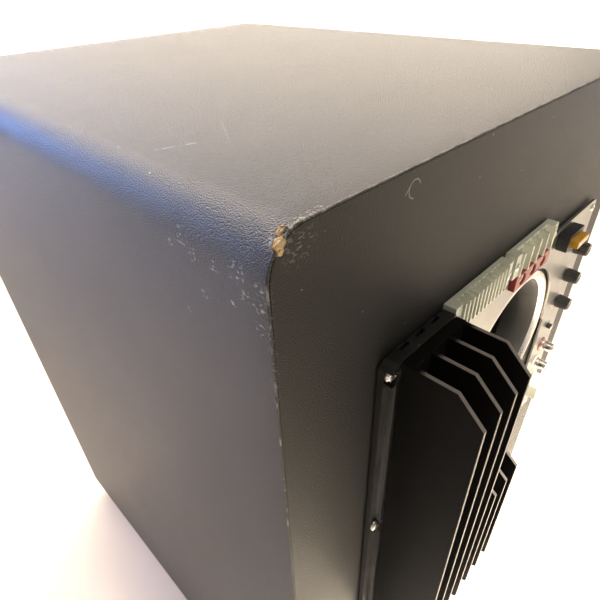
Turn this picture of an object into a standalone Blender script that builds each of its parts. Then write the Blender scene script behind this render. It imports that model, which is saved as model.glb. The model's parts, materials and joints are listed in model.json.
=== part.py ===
"""Powered car subwoofer: a vinyl-covered bass reflex box with its amplifier in the rear board.

Metres, +Z up. The woofer faces -Y, the amplifier faces +Y, and the origin lies on the
ground under the middle of the whole object.
"""

import math

import bmesh
import bpy
from mathutils import Vector

# Cabinet
WIDTH = 0.356
DEPTH = 0.412
HEIGHT = 0.535
FOOT_HEIGHT = 0.010
BOARD = 0.018
EDGE_RADIUS = 0.016
VINYL = 0.0008
GAP = 0.0003
FOOT_INSET_X = 0.043
FOOT_INSET_Y = 0.045
FOOT_RADIUS = 0.019

# Woofer, measured outwards from the face of the front board
WOOFER_Z = 0.2775
GRILLE_PROUD = 0.026
BASKET_RADIUS = 0.152
CUTOUT_RADIUS = 0.1400
FLANGE_TOP = 0.0035
SCREW_CIRCLE = 0.1470
SCREW_COUNT = 8
FRONT_SCREW_SEAT = 0.0061
SURROUND_SEAT = 0.0036
SURROUND_LIP = 0.0012
ROLL_RADIUS = 0.009
ROLL_CENTRE = 0.118
CONE_EDGE = 0.1085
NECK_RADIUS = 0.0262
NECK_DEPTH = 0.040
FORMER_RADIUS = 0.0250
SPIDER_DEPTH = 0.053
BASKET_DEPTH = 0.080
WINDOW_INNER = 0.080
WINDOW_OUTER = 0.118
WINDOW_HALF_ANGLE = 20
MAGNET_RADIUS = 0.072
MAGNET_BORE = 0.036

# Reflex port, on the rear board: right of the left edge, down from the top
PORT_X = 0.2085
PORT_Y = -0.1754
PORT_RADIUS = 0.0502
PORT_RING_RADIUS = 0.0628
PORT_HOLE_RADIUS = 0.0592
PORT_LENGTH = 0.190

# Amplifier, in the same coordinates as the port, proud of the rear board
AMP_LEFT = 0.0540
AMP_TOP = -0.0785
AMP_BOTTOM = -0.3090
AMP_STEP_X = 0.1040
AMP_STEP_Y = -0.1815
AMP_RIGHT = 0.1445
GASKET_TOP = 0.0010
FRAME_BACK = 0.0013
FRAME_LIP = 0.0045
FRAME_TOP = 0.0080
BASE_TOP = 0.0135
HEATSINK_PROUD = 0.0465
FIN_COUNT = 7
FIN_PITCH = 0.0134
FIN_FIRST = 0.0615
FIN_THICKNESS = 0.0022
FIN_CHAMFER = 0.0130
PLATE_TOP = 0.0033
PLATE_LEFT = 0.1050
PLATE_RIGHT = 0.3180
PLATE_EDGE_TOP = -0.0925
STRIP_TOP = -0.0765
STRIP_HEIGHT = 0.0155
PLATE_CUT_RADIUS = 0.0655
POWER_LEFT = 0.1760
POWER_RIGHT = 0.2240
POWER_TOP = -0.0935
POWER_BOTTOM = -0.1035
POWER_PROUD = 0.0075
POWER_WELLS = (0.1860, 0.2000, 0.2140)
POWER_WELL_RADIUS = 0.0038
POWER_WELL_FLOOR = 0.0055
CONTROL_X = 0.2985
CONTROL_LEG_LEFT = 0.2790
KNOB_PLACES = {"gain_knob": -0.125, "crossover_knob": -0.150, "bass_knob": -0.175}
KNOB_CLEARANCE = 0.0007
SWITCH_PLACE = -0.200
SWITCH_TRAVEL = 0.004
RCA_PLACES = (-0.222, -0.243)
LEVEL_PLACE = -0.269
FUSE_PLACE = (0.2600, -0.1010)
AMP_SCREWS = (-0.0850, -0.2000, -0.3030)
AMP_SCREW_X = 0.0575
CHASSIS_DEPTH = 0.062

ROUND = 32
CLEAR = 0.0050
SCREW_HEAD_RADIUS = 0.0036
SCREW_LENGTH = 0.0170
ORIGIN_SHIFT = (HEATSINK_PROUD - GRILLE_PROUD) / 2
Y_FRONT = -DEPTH / 2 - ORIGIN_SHIFT
Y_REAR = DEPTH / 2 - ORIGIN_SHIFT
Z_TOP = FOOT_HEIGHT + HEIGHT


# ---------------------------------------------------------------- helpers


def arc(cx, cy, radius, start, stop, steps):
    """Points along an arc given in degrees, both ends included."""
    angles = [math.radians(start + (stop - start) * i / steps) for i in range(steps + 1)]
    return [(cx + radius * math.cos(a), cy + radius * math.sin(a)) for a in angles]


def rounded_rect(x0, x1, y0, y1, radius, steps=4):
    """Counter-clockwise outline of a rectangle with round corners."""
    points = []
    for cx, cy, start in (
        (x1 - radius, y0 + radius, -90),
        (x1 - radius, y1 - radius, 0),
        (x0 + radius, y1 - radius, 90),
        (x0 + radius, y0 + radius, 180),
    ):
        points += arc(cx, cy, radius, start, start + 90, steps)
    return points


def rect(x0, x1, y0, y1):
    return [(x0, y0), (x1, y0), (x1, y1), (x0, y1)]


def circle(cx, cy, radius, segments):
    return arc(cx, cy, radius, 0, 360 - 360 / segments, segments - 1)


def material(name, colour, roughness, metallic=0.0):
    mat = bpy.data.materials.new(name)
    mat.use_nodes = True
    shader = mat.node_tree.nodes["Principled BSDF"]
    shader.inputs["Base Color"].default_value = (*colour, 1.0)
    shader.inputs["Roughness"].default_value = roughness
    shader.inputs["Metallic"].default_value = metallic
    return mat


def empty(name, location, rotation=(0.0, 0.0, 0.0), parent=None):
    obj = bpy.data.objects.new(name, None)
    bpy.context.collection.objects.link(obj)
    obj.location = location
    obj.rotation_euler = rotation
    obj.parent = parent
    return obj


def add(name, bm, mat, parent=None, location=(0.0, 0.0, 0.0), rotation=(0.0, 0.0, 0.0), smooth=False):
    """Turns a bmesh into a named object with its faces pointing out."""
    bmesh.ops.recalc_face_normals(bm, faces=bm.faces[:])
    mesh = bpy.data.meshes.new(name)
    bm.to_mesh(mesh)
    bm.free()
    if smooth:
        mesh.shade_smooth()
        mesh.set_sharp_from_angle(angle=math.radians(35))
    if mat:
        mesh.materials.append(mat)
    obj = bpy.data.objects.new(name, mesh)
    bpy.context.collection.objects.link(obj)
    obj.parent = parent
    obj.location = location
    obj.rotation_euler = rotation
    return obj


def extrude(bm, outline, depth):
    face = bm.faces.new([bm.verts.new((x, y, 0.0)) for x, y in outline])
    top = bmesh.ops.extrude_face_region(bm, geom=[face])["geom"]
    moved = [v for v in top if isinstance(v, bmesh.types.BMVert)]
    bmesh.ops.translate(bm, verts=moved, vec=(0.0, 0.0, depth))


def prism(name, outline, low, high, mat, parent, at=(0.0, 0.0), rotation=(0.0, 0.0, 0.0)):
    """An outline drawn on the parent's XY plane and extruded from low to high along Z."""
    bm = bmesh.new()
    extrude(bm, outline, high - low)
    return add(name, bm, mat, parent, (at[0], at[1], low), rotation)


def turned(name, profile, mat, parent, at=(0.0, 0.0, 0.0), segments=ROUND, closed=True):
    """A (radius, height) profile turned about the local Z axis; ends on the axis when open."""
    bm = bmesh.new()
    rings = []
    for radius, height in profile:
        if radius < 1e-6:
            rings.append([bm.verts.new((0.0, 0.0, height))])
            continue
        rings.append([bm.verts.new((x, y, height)) for x, y in circle(0.0, 0.0, radius, segments)])
    pairs = list(zip(rings, rings[1:]))
    if closed:
        pairs.append((rings[-1], rings[0]))
    for lower, upper in pairs:
        if len(lower) == len(upper) == 1:
            continue
        for i in range(segments):
            j = (i + 1) % segments
            corners = [lower[i % len(lower)], lower[j % len(lower)]]
            corners += [upper[j % len(upper)], upper[i % len(upper)]]
            bm.faces.new(list(dict.fromkeys(corners)))
    return add(name, bm, mat, parent, at, smooth=True)


def cutter(name, outlines, low, high, parent):
    """One hidden tool made of several prisms."""
    bm = bmesh.new()
    for outline in outlines:
        extrude(bm, outline, high - low)
    obj = add(name, bm, None, parent, (0.0, 0.0, low))
    obj.hide_render = True
    obj.display_type = "WIRE"
    return obj


def combine(obj, tool, operation="DIFFERENCE"):
    modifier = obj.modifiers.new(f"{operation.lower()}_{tool.name}", "BOOLEAN")
    modifier.operation = operation
    modifier.solver = "EXACT"
    modifier.object = tool


def polar(radius, count, offset=0.0):
    """Centres spread evenly on a circle."""
    angles = [math.radians(offset + 360 * i / count) for i in range(count)]
    return [(radius * math.cos(a), radius * math.sin(a)) for a in angles]


def smooth_route(points, per_span):
    """Points on a Catmull-Rom curve through the route's own points."""
    knots = [Vector(p) for p in points]
    knots = [2 * knots[0] - knots[1], *knots, 2 * knots[-1] - knots[-2]]
    route = []
    for a, b, c, d in zip(knots, knots[1:], knots[2:], knots[3:]):
        for i in range(per_span):
            t = i / per_span
            bend = (2 * a - 5 * b + 4 * c - d) * t**2 + (3 * b - a - 3 * c + d) * t**3
            route.append(0.5 * (2 * b + (c - a) * t + bend))
    return [*route, knots[-2]]


# ---------------------------------------------------------------- cabinet


def build_cabinet(finish, front, rear):
    inset = VINYL + GAP
    half = WIDTH / 2 - inset
    bottom = FOOT_HEIGHT + inset
    top = Z_TOP - inset
    radius = EDGE_RADIUS - inset
    inner_depth = DEPTH - 2 * (BOARD + GAP)
    upright = (math.pi / 2, 0.0, 0.0)
    back = (0.0, Y_REAR - BOARD - GAP, 0.0)

    def board(name, outline):
        bm = bmesh.new()
        extrude(bm, outline, inner_depth)
        return add(name, bm, finish["mdf"], None, back, upright)

    side = [(-half + BOARD, bottom), (-half + BOARD, top)]
    side += arc(-half + radius, top - radius, radius, 90, 180, 5)
    side += arc(-half + radius, bottom + radius, radius, 180, 270, 5)
    board("left_side_panel", side)
    board("right_side_panel", [(-x, z) for x, z in side])
    inner = half - BOARD - GAP
    board("top_panel", rect(-inner, inner, top - BOARD, top))
    board("bottom_panel", rect(-inner, inner, bottom, bottom + BOARD))

    bm = bmesh.new()
    rings = []
    for depth in (0.0, DEPTH):
        for edge in (0.0, VINYL):
            outline = rounded_rect(
                -WIDTH / 2 + edge, WIDTH / 2 - edge, FOOT_HEIGHT + edge, Z_TOP - edge, EDGE_RADIUS - edge, 6
            )
            rings.append([bm.verts.new((x, y, depth)) for x, y in outline])
    for a, b in ((0, 1), (1, 3), (3, 2), (2, 0)):
        for i in range(len(rings[a])):
            j = (i + 1) % len(rings[a])
            bm.faces.new([rings[a][i], rings[a][j], rings[b][j], rings[b][i]])
    add("vinyl_wrap", bm, finish["vinyl"], None, (0.0, Y_REAR, 0.0), upright)

    face = rounded_rect(-half, half, bottom - WOOFER_Z, top - WOOFER_Z, radius, 5)
    baffle = prism("front_baffle", face, -BOARD, 0.0, finish["vinyl"], front)
    holes = [circle(0.0, 0.0, CUTOUT_RADIUS, ROUND)]
    combine(baffle, cutter("woofer_hole", holes, -BOARD * 2, BOARD, front))
    pilots = [circle(x, y, 0.0022, 8) for x, y in polar(SCREW_CIRCLE, SCREW_COUNT, 22.5)]
    combine(baffle, cutter("woofer_pilots", pilots, -0.0140, BOARD, front))

    face = rounded_rect(inset, WIDTH - inset, inset - HEIGHT, -inset, radius, 5)
    panel = prism("rear_panel", face, -BOARD, 0.0, finish["vinyl"], rear)
    openings = [
        rect(0.0660, 0.1400, -0.3015, -0.0860),
        rect(0.1460, 0.2200, -0.1040, -0.0840),
        rect(0.2850, 0.3120, -0.3030, -0.1150),
        circle(PORT_X, PORT_Y, PORT_HOLE_RADIUS, ROUND),
    ]
    combine(panel, cutter("amplifier_openings", openings, -BOARD * 2, BOARD, rear))
    pilots = [circle(AMP_SCREW_X, y, 0.0022, 8) for y in AMP_SCREWS]
    combine(panel, cutter("amplifier_pilots", pilots, -0.0140, BOARD, rear))

    foot = [(0.0, 0.0), (0.0165, 0.0), (0.0175, 0.0008)]
    foot += [(FOOT_RADIUS, FOOT_HEIGHT - GAP), (0.0, FOOT_HEIGHT - GAP)]
    places = [(x, y) for y in (Y_FRONT + FOOT_INSET_Y, Y_REAR - FOOT_INSET_Y) for x in (-1, 1)]
    for number, (side_sign, y) in enumerate(places, 1):
        place = (side_sign * (WIDTH / 2 - FOOT_INSET_X), y, 0.0)
        turned(f"foot_{number}", foot, finish["rubber"], None, place, 20, closed=False)


# ---------------------------------------------------------------- woofer


def basket_profile():
    """Pressed steel basket: flange, sloping arms and the plate that carries the motor."""
    outside = [(BASKET_RADIUS, FLANGE_TOP), (BASKET_RADIUS, GAP), (0.1375, GAP), (0.1330, -0.010)]
    outside += [(0.0700, -0.072), (0.0700, -BASKET_DEPTH), (0.0310, -BASKET_DEPTH)]
    inside = [(0.0310, -0.0775), (0.0665, -0.0775), (0.0670, -0.0710)]
    inside += [(0.1300, -0.0085), (0.1345, FLANGE_TOP)]
    return outside + inside


def surround_profile():
    """Half-roll of rubber with a lip on the flange and a lip on the cone."""
    low, high = SURROUND_SEAT, SURROUND_SEAT + SURROUND_LIP
    upper = [(0.1400, high), *arc(ROLL_CENTRE, high, ROLL_RADIUS, 0, 180, 5), (0.1010, high)]
    lower = [(0.1010, low), *arc(ROLL_CENTRE, low, ROLL_RADIUS - SURROUND_LIP, 180, 0, 5), (0.1400, low)]
    return upper + lower


def spider_profile():
    """Corrugated cloth disc between the coil former and the basket."""
    inner, outer, ridges, height, thickness = NECK_RADIUS + GAP, 0.0820, 6, 0.0016, 0.0008
    tops = []
    for i in range(ridges + 1):
        wave = height * (1 if i % 2 else -1) if 0 < i < ridges else 0.0
        tops.append((inner + (outer - inner) * i / ridges, -SPIDER_DEPTH + wave))
    return tops + [(r, z - thickness) for r, z in reversed(tops)]


def build_woofer(finish, front, cone_axis):
    basket = turned("woofer_basket", basket_profile(), finish["black_steel"], front)
    windows = []
    for angle in range(0, 360, 60):
        a, b = math.radians(angle - WINDOW_HALF_ANGLE), math.radians(angle + WINDOW_HALF_ANGLE)
        corners = ((WINDOW_INNER, a), (WINDOW_OUTER, a), (WINDOW_OUTER, b), (WINDOW_INNER, b))
        windows.append([(r * math.cos(t), r * math.sin(t)) for r, t in corners])
    combine(basket, cutter("basket_windows", windows, -0.0650, -0.0100, front))
    holes = [circle(x, y, 0.0024, 8) for x, y in polar(SCREW_CIRCLE, SCREW_COUNT, 22.5)]
    flange_holes = cutter("flange_holes", holes, -0.002, 0.012, front)
    combine(basket, flange_holes)

    turned("surround", surround_profile(), finish["rubber"], front)
    turned("spider", spider_profile(), finish["cloth"], front, segments=20)
    cone = [(CONE_EDGE, 0.0033), (CONE_EDGE, 0.0021), (0.1042, 0.0021), (0.0560, -0.0262)]
    cone += [(NECK_RADIUS, -NECK_DEPTH - 0.0012), (NECK_RADIUS, -NECK_DEPTH), (0.0550, -0.0252)]
    cone += [(0.1035, 0.0033)]
    turned("cone", cone, finish["paper"], cone_axis)
    dome = [(0.0, -0.0105), (0.0190, -0.0120), (0.0340, -0.0170), (0.0425, -0.0240), (0.0440, -0.0296)]
    hollow = [(0.0432, -0.0302), (0.0415, -0.0248), (0.0332, -0.0180), (0.0185, -0.0130), (0.0, -0.0115)]
    turned("dust_cap", dome + hollow, finish["cap"], cone_axis, segments=24, closed=False)
    coil = [(FORMER_RADIUS, -0.0385), (FORMER_RADIUS, -0.0980), (FORMER_RADIUS + 0.0014, -0.0980)]
    coil += [(FORMER_RADIUS + 0.0014, -0.0800), (FORMER_RADIUS + 0.0009, -0.0800)]
    coil += [(FORMER_RADIUS + 0.0009, -0.0385)]
    turned("voice_coil", coil, finish["copper"], cone_axis, segments=24)

    plate_low = -BASKET_DEPTH - GAP - 0.008
    ring_low = plate_low - GAP - 0.020
    bore = FORMER_RADIUS + 0.0020
    turned(
        "magnet_top_plate",
        [(bore, plate_low), (0.0600, plate_low), (0.0600, -BASKET_DEPTH - GAP), (bore, -BASKET_DEPTH - GAP)],
        finish["steel"],
        front,
        segments=24,
    )
    turned(
        "magnet_ring",
        [
            (MAGNET_BORE, ring_low),
            (MAGNET_RADIUS, ring_low),
            (MAGNET_RADIUS, plate_low - GAP),
            (MAGNET_BORE, plate_low - GAP),
        ],
        finish["ferrite"],
        front,
        segments=24,
    )
    pole, yoke_top = FORMER_RADIUS - 0.0006, ring_low - GAP
    yoke = [(0.0, -BASKET_DEPTH - GAP), (pole, -BASKET_DEPTH - GAP), (pole, yoke_top), (0.062, yoke_top)]
    yoke += [(0.062, yoke_top - 0.008), (0.0, yoke_top - 0.008)]
    turned("magnet_yoke", yoke, finish["steel"], front, segments=24, closed=False)

    block = [(0.0885, -0.0560), (0.1090, -0.0560), (0.1090, -0.0440), (0.1003, -0.0440)]
    terminal = prism("woofer_terminal", block, -0.008, 0.008, finish["black_plastic"], front)
    terminal.rotation_euler = (math.pi / 2, 0.0, 0.0)
    terminal.location = (0.0, 0.008, 0.0)

    ring = [(0.1405, 0.0150), (0.1420, 0.0150), (0.1430, 0.0058)]
    flange = [(BASKET_RADIUS + 0.002, 0.0058), (BASKET_RADIUS + 0.002, 0.0038), (0.1405, 0.0038)]
    grille_ring = turned("grille_ring", ring + flange, finish["black_steel"], front)
    combine(grille_ring, flange_holes)
    outer = [(0.0, GRILLE_PROUD), (0.060, 0.0250), (0.110, 0.0218), (0.1375, 0.0175), (0.1418, 0.0153)]
    inner = [(0.1385, 0.0153), (0.1368, 0.0163), (0.1095, 0.0206)]
    inner += [(0.0598, 0.0238), (0.0, GRILLE_PROUD - 0.0012)]
    turned("grille_mesh", outer + inner, finish["black_steel"], front, closed=False)

    for number, (x, y) in enumerate(polar(SCREW_CIRCLE, SCREW_COUNT, 22.5), 1):
        seat = (x, y, FRONT_SCREW_SEAT)
        screw(f"woofer_screw_{number}", finish["screw_black"], front, seat, SCREW_HEAD_RADIUS, SCREW_LENGTH)


def screw(name, mat, parent, seat, head_radius, length):
    """Pan head screw standing on its seat, with its shank below it."""
    shank = 0.0018
    profile = [(0.0, 0.0024), (head_radius * 0.6, 0.0022), (head_radius, 0.0010), (head_radius, 0.0)]
    profile += [(shank, 0.0), (shank, 0.002 - length), (0.0, -length)]
    turned(name, profile, mat, parent, seat, 8, closed=False)


# ---------------------------------------------------------------- reflex port


def build_port(finish, rear):
    place = (PORT_X, PORT_Y, 0.0)
    ring = [(PORT_RING_RADIUS, GAP), (PORT_RING_RADIUS, 0.0013), (0.0616, 0.0022)]
    ring += [(0.0598, 0.0024), (0.0580, 0.0016)]
    ring += [(0.0540, -0.0025), (PORT_RADIUS, -0.0130), (PORT_RADIUS, -0.0220)]
    ring += [(0.0524, -0.0220), (0.0524, -0.0130), (0.0584, -0.0015), (0.0588, GAP)]
    turned("port_trim_ring", ring, finish["silver"], rear, place, 40)
    tube = [(0.0531, -0.0160), (0.0531, -PORT_LENGTH), (0.0586, -PORT_LENGTH), (0.0586, -0.0160)]
    turned("port_tube", tube, finish["port_black"], rear, place)


# ---------------------------------------------------------------- amplifier


def frame_outline(edge=0.0):
    """Stepped outline of the heat sink's frame, pulled in by edge."""
    left, right = AMP_LEFT + edge, AMP_RIGHT - edge
    top, bottom = AMP_TOP - edge, AMP_BOTTOM + edge
    step_x, step_y = AMP_STEP_X - edge, AMP_STEP_Y - edge
    points = arc(left + 0.005, bottom + 0.005, 0.005, 180, 270, 4)
    points += arc(right - 0.005, bottom + 0.005, 0.005, 270, 360, 4)
    points += [(right, step_y), (step_x, step_y), (step_x, top)]
    points += arc(left + 0.005, top - 0.005, 0.005, 90, 180, 4)
    return points


def comb(count, low, high):
    """Section of the heat sink: a base with fins standing on it, drawn across the fins."""
    half = FIN_THICKNESS / 2
    first, last = FIN_FIRST, FIN_FIRST + (count - 1) * FIN_PITCH
    points = [(first - half, low), (last + half, low)]
    for i in reversed(range(count)):
        x = FIN_FIRST + i * FIN_PITCH
        points += [(x + half, high), (x - half, high)]
        if i:
            points += [(x - half, BASE_TOP), (x - FIN_PITCH + half, BASE_TOP)]
    return points


def build_heatsink(finish, rear):
    """Extruded along Y of the rear face, so the section is drawn on X and the way out."""
    low, high = FRAME_TOP + GAP, HEATSINK_PROUD
    across = (math.pi / 2, 0.0, 0.0)
    bm = bmesh.new()
    extrude(bm, comb(FIN_COUNT, low, high), AMP_TOP - AMP_BOTTOM - 0.003)
    sink = add("heat_sink", bm, finish["black_aluminium"], rear, (0.0, AMP_TOP, 0.0), across)

    chamfer = FIN_CHAMFER
    slope = 0.012
    top, bottom, step = AMP_TOP, AMP_BOTTOM + 0.003, AMP_STEP_Y
    over = 0.010
    short_x = AMP_STEP_X - 0.0006
    everywhere = (0.040, 0.170)
    top_chamfer = [(top + over, high - chamfer), (top, high - chamfer), (top - slope, high)]
    top_chamfer += [(top - slope, high + over), (top + over, high + over)]
    bottom_chamfer = [(bottom - over, high - chamfer), (bottom - over, high + over)]
    bottom_chamfer += [(bottom + slope, high + over), (bottom + slope, high), (bottom, high - chamfer)]
    ledge = step - 0.0012
    short_fins = [(top + over, low - over), (ledge, low - over), (ledge, high - chamfer), (step - slope, high)]
    short_fins += [(step - slope, high + over), (top + over, high + over)]
    cuts = (
        ("top_chamfer", top_chamfer, everywhere),
        ("bottom_chamfer", bottom_chamfer, everywhere),
        ("short_fins", short_fins, (short_x, everywhere[1])),
    )
    for name, outline, (x0, x1) in cuts:
        bm = bmesh.new()
        extrude(bm, outline, x1 - x0)
        tool = add(name, bm, None, rear, (x0, 0.0, 0.0), (math.pi / 2, 0.0, math.pi / 2))
        tool.hide_render = True
        tool.display_type = "WIRE"
        combine(sink, tool)


def build_frame(finish, rear):
    gasket = prism("amp_gasket", frame_outline(0.0015), GAP, GASKET_TOP, finish["foam"], rear)
    inside = rounded_rect(0.0640, 0.0990, -0.3030, -0.0845, 0.003)
    combine(gasket, cutter("gasket_hole", [inside], -0.002, 0.004, rear))
    frame = prism("amp_frame", frame_outline(), FRAME_BACK, FRAME_TOP, finish["black_paint"], rear)
    margin = rect(AMP_LEFT - 0.005, AMP_LEFT + 0.0045, AMP_BOTTOM - 0.005, AMP_TOP - 0.0112)
    combine(frame, cutter("frame_margin", [margin], FRAME_LIP, FRAME_TOP + 0.005, rear))
    pockets = [circle(AMP_SCREW_X, y, 0.0046, 16) for y in AMP_SCREWS]
    combine(frame, cutter("screw_pockets", pockets, FRAME_LIP - 0.0001, FRAME_TOP + 0.005, rear))
    slots = []
    for x in (0.0700, 0.0820, 0.0940):
        for edge in (AMP_TOP, AMP_BOTTOM):
            slots.append(rect(x - 0.0032, x + 0.0032, edge - 0.0035, edge + 0.0035))
    combine(frame, cutter("vent_slots", slots, 0.0, 0.0036, rear))
    holes = [circle(AMP_SCREW_X, y, 0.0021, 8) for y in AMP_SCREWS]
    screw_holes = cutter("frame_screw_holes", holes, -0.001, FRAME_TOP + 0.006, rear)
    combine(frame, screw_holes)
    combine(gasket, screw_holes)
    for number, y in enumerate(AMP_SCREWS, 1):
        seat = (AMP_SCREW_X, y, FRAME_LIP + GAP)
        screw(f"amp_screw_{number}", finish["screw_zinc"], rear, seat, SCREW_HEAD_RADIUS, SCREW_LENGTH)


def plate_outline():
    """Face plate right of the fins: it clears the port ring on a concentric arc and ends in a leg."""
    meet = -0.1803
    reach = math.sqrt(PLATE_CUT_RADIUS**2 - (meet - PORT_Y) ** 2)
    start = math.degrees(math.atan2(meet - PORT_Y, -reach)) % 360
    stop = math.degrees(math.atan2(meet - PORT_Y, reach))
    points = [(PLATE_LEFT, meet)]
    points += arc(PORT_X, PORT_Y, PLATE_CUT_RADIUS, start, stop, 24)
    points += [(CONTROL_LEG_LEFT, meet - 0.004)]
    points += arc(CONTROL_LEG_LEFT + 0.003, AMP_BOTTOM + 0.003, 0.003, 180, 270, 3)
    points += arc(PLATE_RIGHT - 0.005, AMP_BOTTOM + 0.005, 0.005, 270, 360, 4)
    points += arc(PLATE_RIGHT - 0.005, PLATE_EDGE_TOP - 0.005, 0.005, 0, 90, 4)
    points += [(PLATE_LEFT, PLATE_EDGE_TOP)]
    return points


def barrier_strip(name, x0, x1, poles, mat, rear):
    """Terminal strip with raised barriers between its poles and a low ear at each end."""
    floor, valley, ear, crown = GAP, 0.0030, 0.0072, 0.0086
    ear_length, wall = 0.0060, 0.0015
    first, last = x0 + ear_length, x1 - ear_length
    pitch = (last - first - wall) / poles
    points = [(x0, floor), (x1, floor), (x1, ear), (last, ear)]
    for i in reversed(range(poles + 1)):
        x = first + i * pitch
        points += [(x + wall, crown), (x, crown)]
        if i:
            points += [(x, valley), (x - pitch + wall, valley)]
    points += [(first, ear), (x0, ear)]
    clean = [p for i, p in enumerate(points) if p != points[i - 1]]
    bm = bmesh.new()
    extrude(bm, clean, STRIP_HEIGHT)
    return add(name, bm, mat, rear, (0.0, STRIP_TOP, 0.0), (math.pi / 2, 0.0, 0.0))


def build_connections(finish, rear):
    plate = prism("connector_plate", plate_outline(), FRAME_BACK, PLATE_TOP, finish["brushed"], rear)
    holes = [circle(CONTROL_X, y, 0.0023, 12) for y in KNOB_PLACES.values()]
    holes.append(rect(CONTROL_X - 0.0042, CONTROL_X + 0.0042, SWITCH_PLACE - 0.0020, SWITCH_PLACE + 0.0020))
    combine(plate, cutter("control_holes", holes, -0.002, 0.008, rear))

    barrier_strip("terminal_strip", 0.1050, 0.1640, 11, finish["pale_nylon"], rear)
    barrier_strip("link_block", 0.1690, 0.2250, 4, finish["pale_nylon"], rear)
    base = PLATE_TOP + GAP
    outline = rect(POWER_LEFT, POWER_RIGHT, POWER_BOTTOM, POWER_TOP)
    power = prism("power_terminal", outline, base, POWER_PROUD, finish["red"], rear)
    wells = [circle(x, (POWER_BOTTOM + POWER_TOP) / 2, POWER_WELL_RADIUS, 12) for x in POWER_WELLS]
    combine(power, cutter("power_wells", wells, POWER_WELL_FLOOR, POWER_PROUD + CLEAR, rear))

    socket = [(0.0022, 0.0005), (0.0052, 0.0), (0.0052, 0.0020), (0.0042, 0.0022)]
    socket += [(0.0042, 0.0095), (0.0034, 0.0095)]
    socket += [(0.0034, 0.0040), (0.0022, 0.0040)]
    for number, y in enumerate(RCA_PLACES, 1):
        turned(f"rca_socket_{number}", socket, finish["nickel"], rear, (CONTROL_X, y, base), 14)

    outline = rounded_rect(-0.0105, 0.0105, -0.0075, 0.0075, 0.001, 2)
    level = prism("level_socket", outline, base, 0.0150, finish["pale_nylon"], rear, (CONTROL_X, LEVEL_PLACE))
    cavity = [rect(CONTROL_X - 0.0085, CONTROL_X + 0.0085, LEVEL_PLACE - 0.0055, LEVEL_PLACE + 0.0055)]
    combine(level, cutter("level_cavity", cavity, 0.0055, 0.020, rear))

    for name, y in KNOB_PLACES.items():
        knob = [(0.0, 0.0098), (0.0042, 0.0098), (0.0048, 0.0090), (0.0054, 0.0010), (0.0054, 0.0)]
        knob += [(0.0018, 0.0), (0.0018, -0.0080), (0.0, -0.0080)]
        place = (CONTROL_X, y, PLATE_TOP + KNOB_CLEARANCE)
        body = turned(name, knob, finish["black_plastic"], rear, place, 16, closed=False)
        notch = cutter(f"{name}_notch", [rect(-0.0004, 0.0004, 0.0008, 0.0070)], 0.0088, 0.0120, body)
        combine(body, notch)

    outline = rect(-0.0018, 0.0018, -0.0016, 0.0016)
    place = (CONTROL_X - SWITCH_TRAVEL / 2, SWITCH_PLACE)
    prism("phase_switch", outline, -0.0020, 0.0068, finish["black_plastic"], rear, place)

    x, y = FUSE_PLACE
    holder = prism("fuse_holder", rounded_rect(-0.0130, 0.0130, -0.0060, 0.0060, 0.0015, 2), base, 0.0110,
                   finish["black_plastic"], rear, (x, y))
    well = [rect(x - 0.0100, x + 0.0100, y - 0.0030, y + 0.0030)]
    combine(holder, cutter("fuse_well", well, 0.0050, 0.020, rear))
    fuse = [(-0.0096, 0.0060), (-0.0040, 0.0060), (-0.0040, 0.0070), (0.0040, 0.0070)]
    fuse += [(0.0040, 0.0060), (0.0096, 0.0060)]
    fuse += [(0.0096, 0.0160), (-0.0096, 0.0160)]
    bm = bmesh.new()
    extrude(bm, fuse, 0.0050)
    add("fuse", bm, finish["fuse"], rear, (x, y + 0.0025, 0.0), (math.pi / 2, 0.0, 0.0))


def build_electronics(finish, rear):
    """What the amplifier holds behind its face: tray, board, choke and reservoir capacitors."""
    outline = rect(0.0665, 0.1395, -0.3010, -0.0865)
    tray = prism("amp_chassis", outline, -CHASSIS_DEPTH, -0.0005, finish["zinc"], rear)
    inside = [rect(0.0677, 0.1383, -0.2998, -0.0877)]
    combine(tray, cutter("tray_inside", inside, -CHASSIS_DEPTH + 0.0012, 0.010, rear))
    prism("circuit_board", rect(0.0700, 0.1360, -0.2970, -0.0910), -0.0300, -0.0284, finish["board"], rear)
    low = -0.0281
    choke = [(0.0080, low), (0.0190, low), (0.0205, low + 0.003)]
    choke += [(0.0205, low + 0.011), (0.0190, low + 0.014)]
    choke += [(0.0080, low + 0.014)]
    turned("toroid_coil", choke, finish["copper"], rear, (0.1040, -0.2400, 0.0), 20)
    can = [(0.0, low), (0.0090, low), (0.0090, low + 0.0240), (0.0080, low + 0.0250), (0.0, low + 0.0250)]
    for number, x in enumerate((0.0900, 0.1140), 1):
        turned(f"capacitor_{number}", can, finish["capacitor"], rear, (x, -0.1300, 0.0), 16, closed=False)


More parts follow.
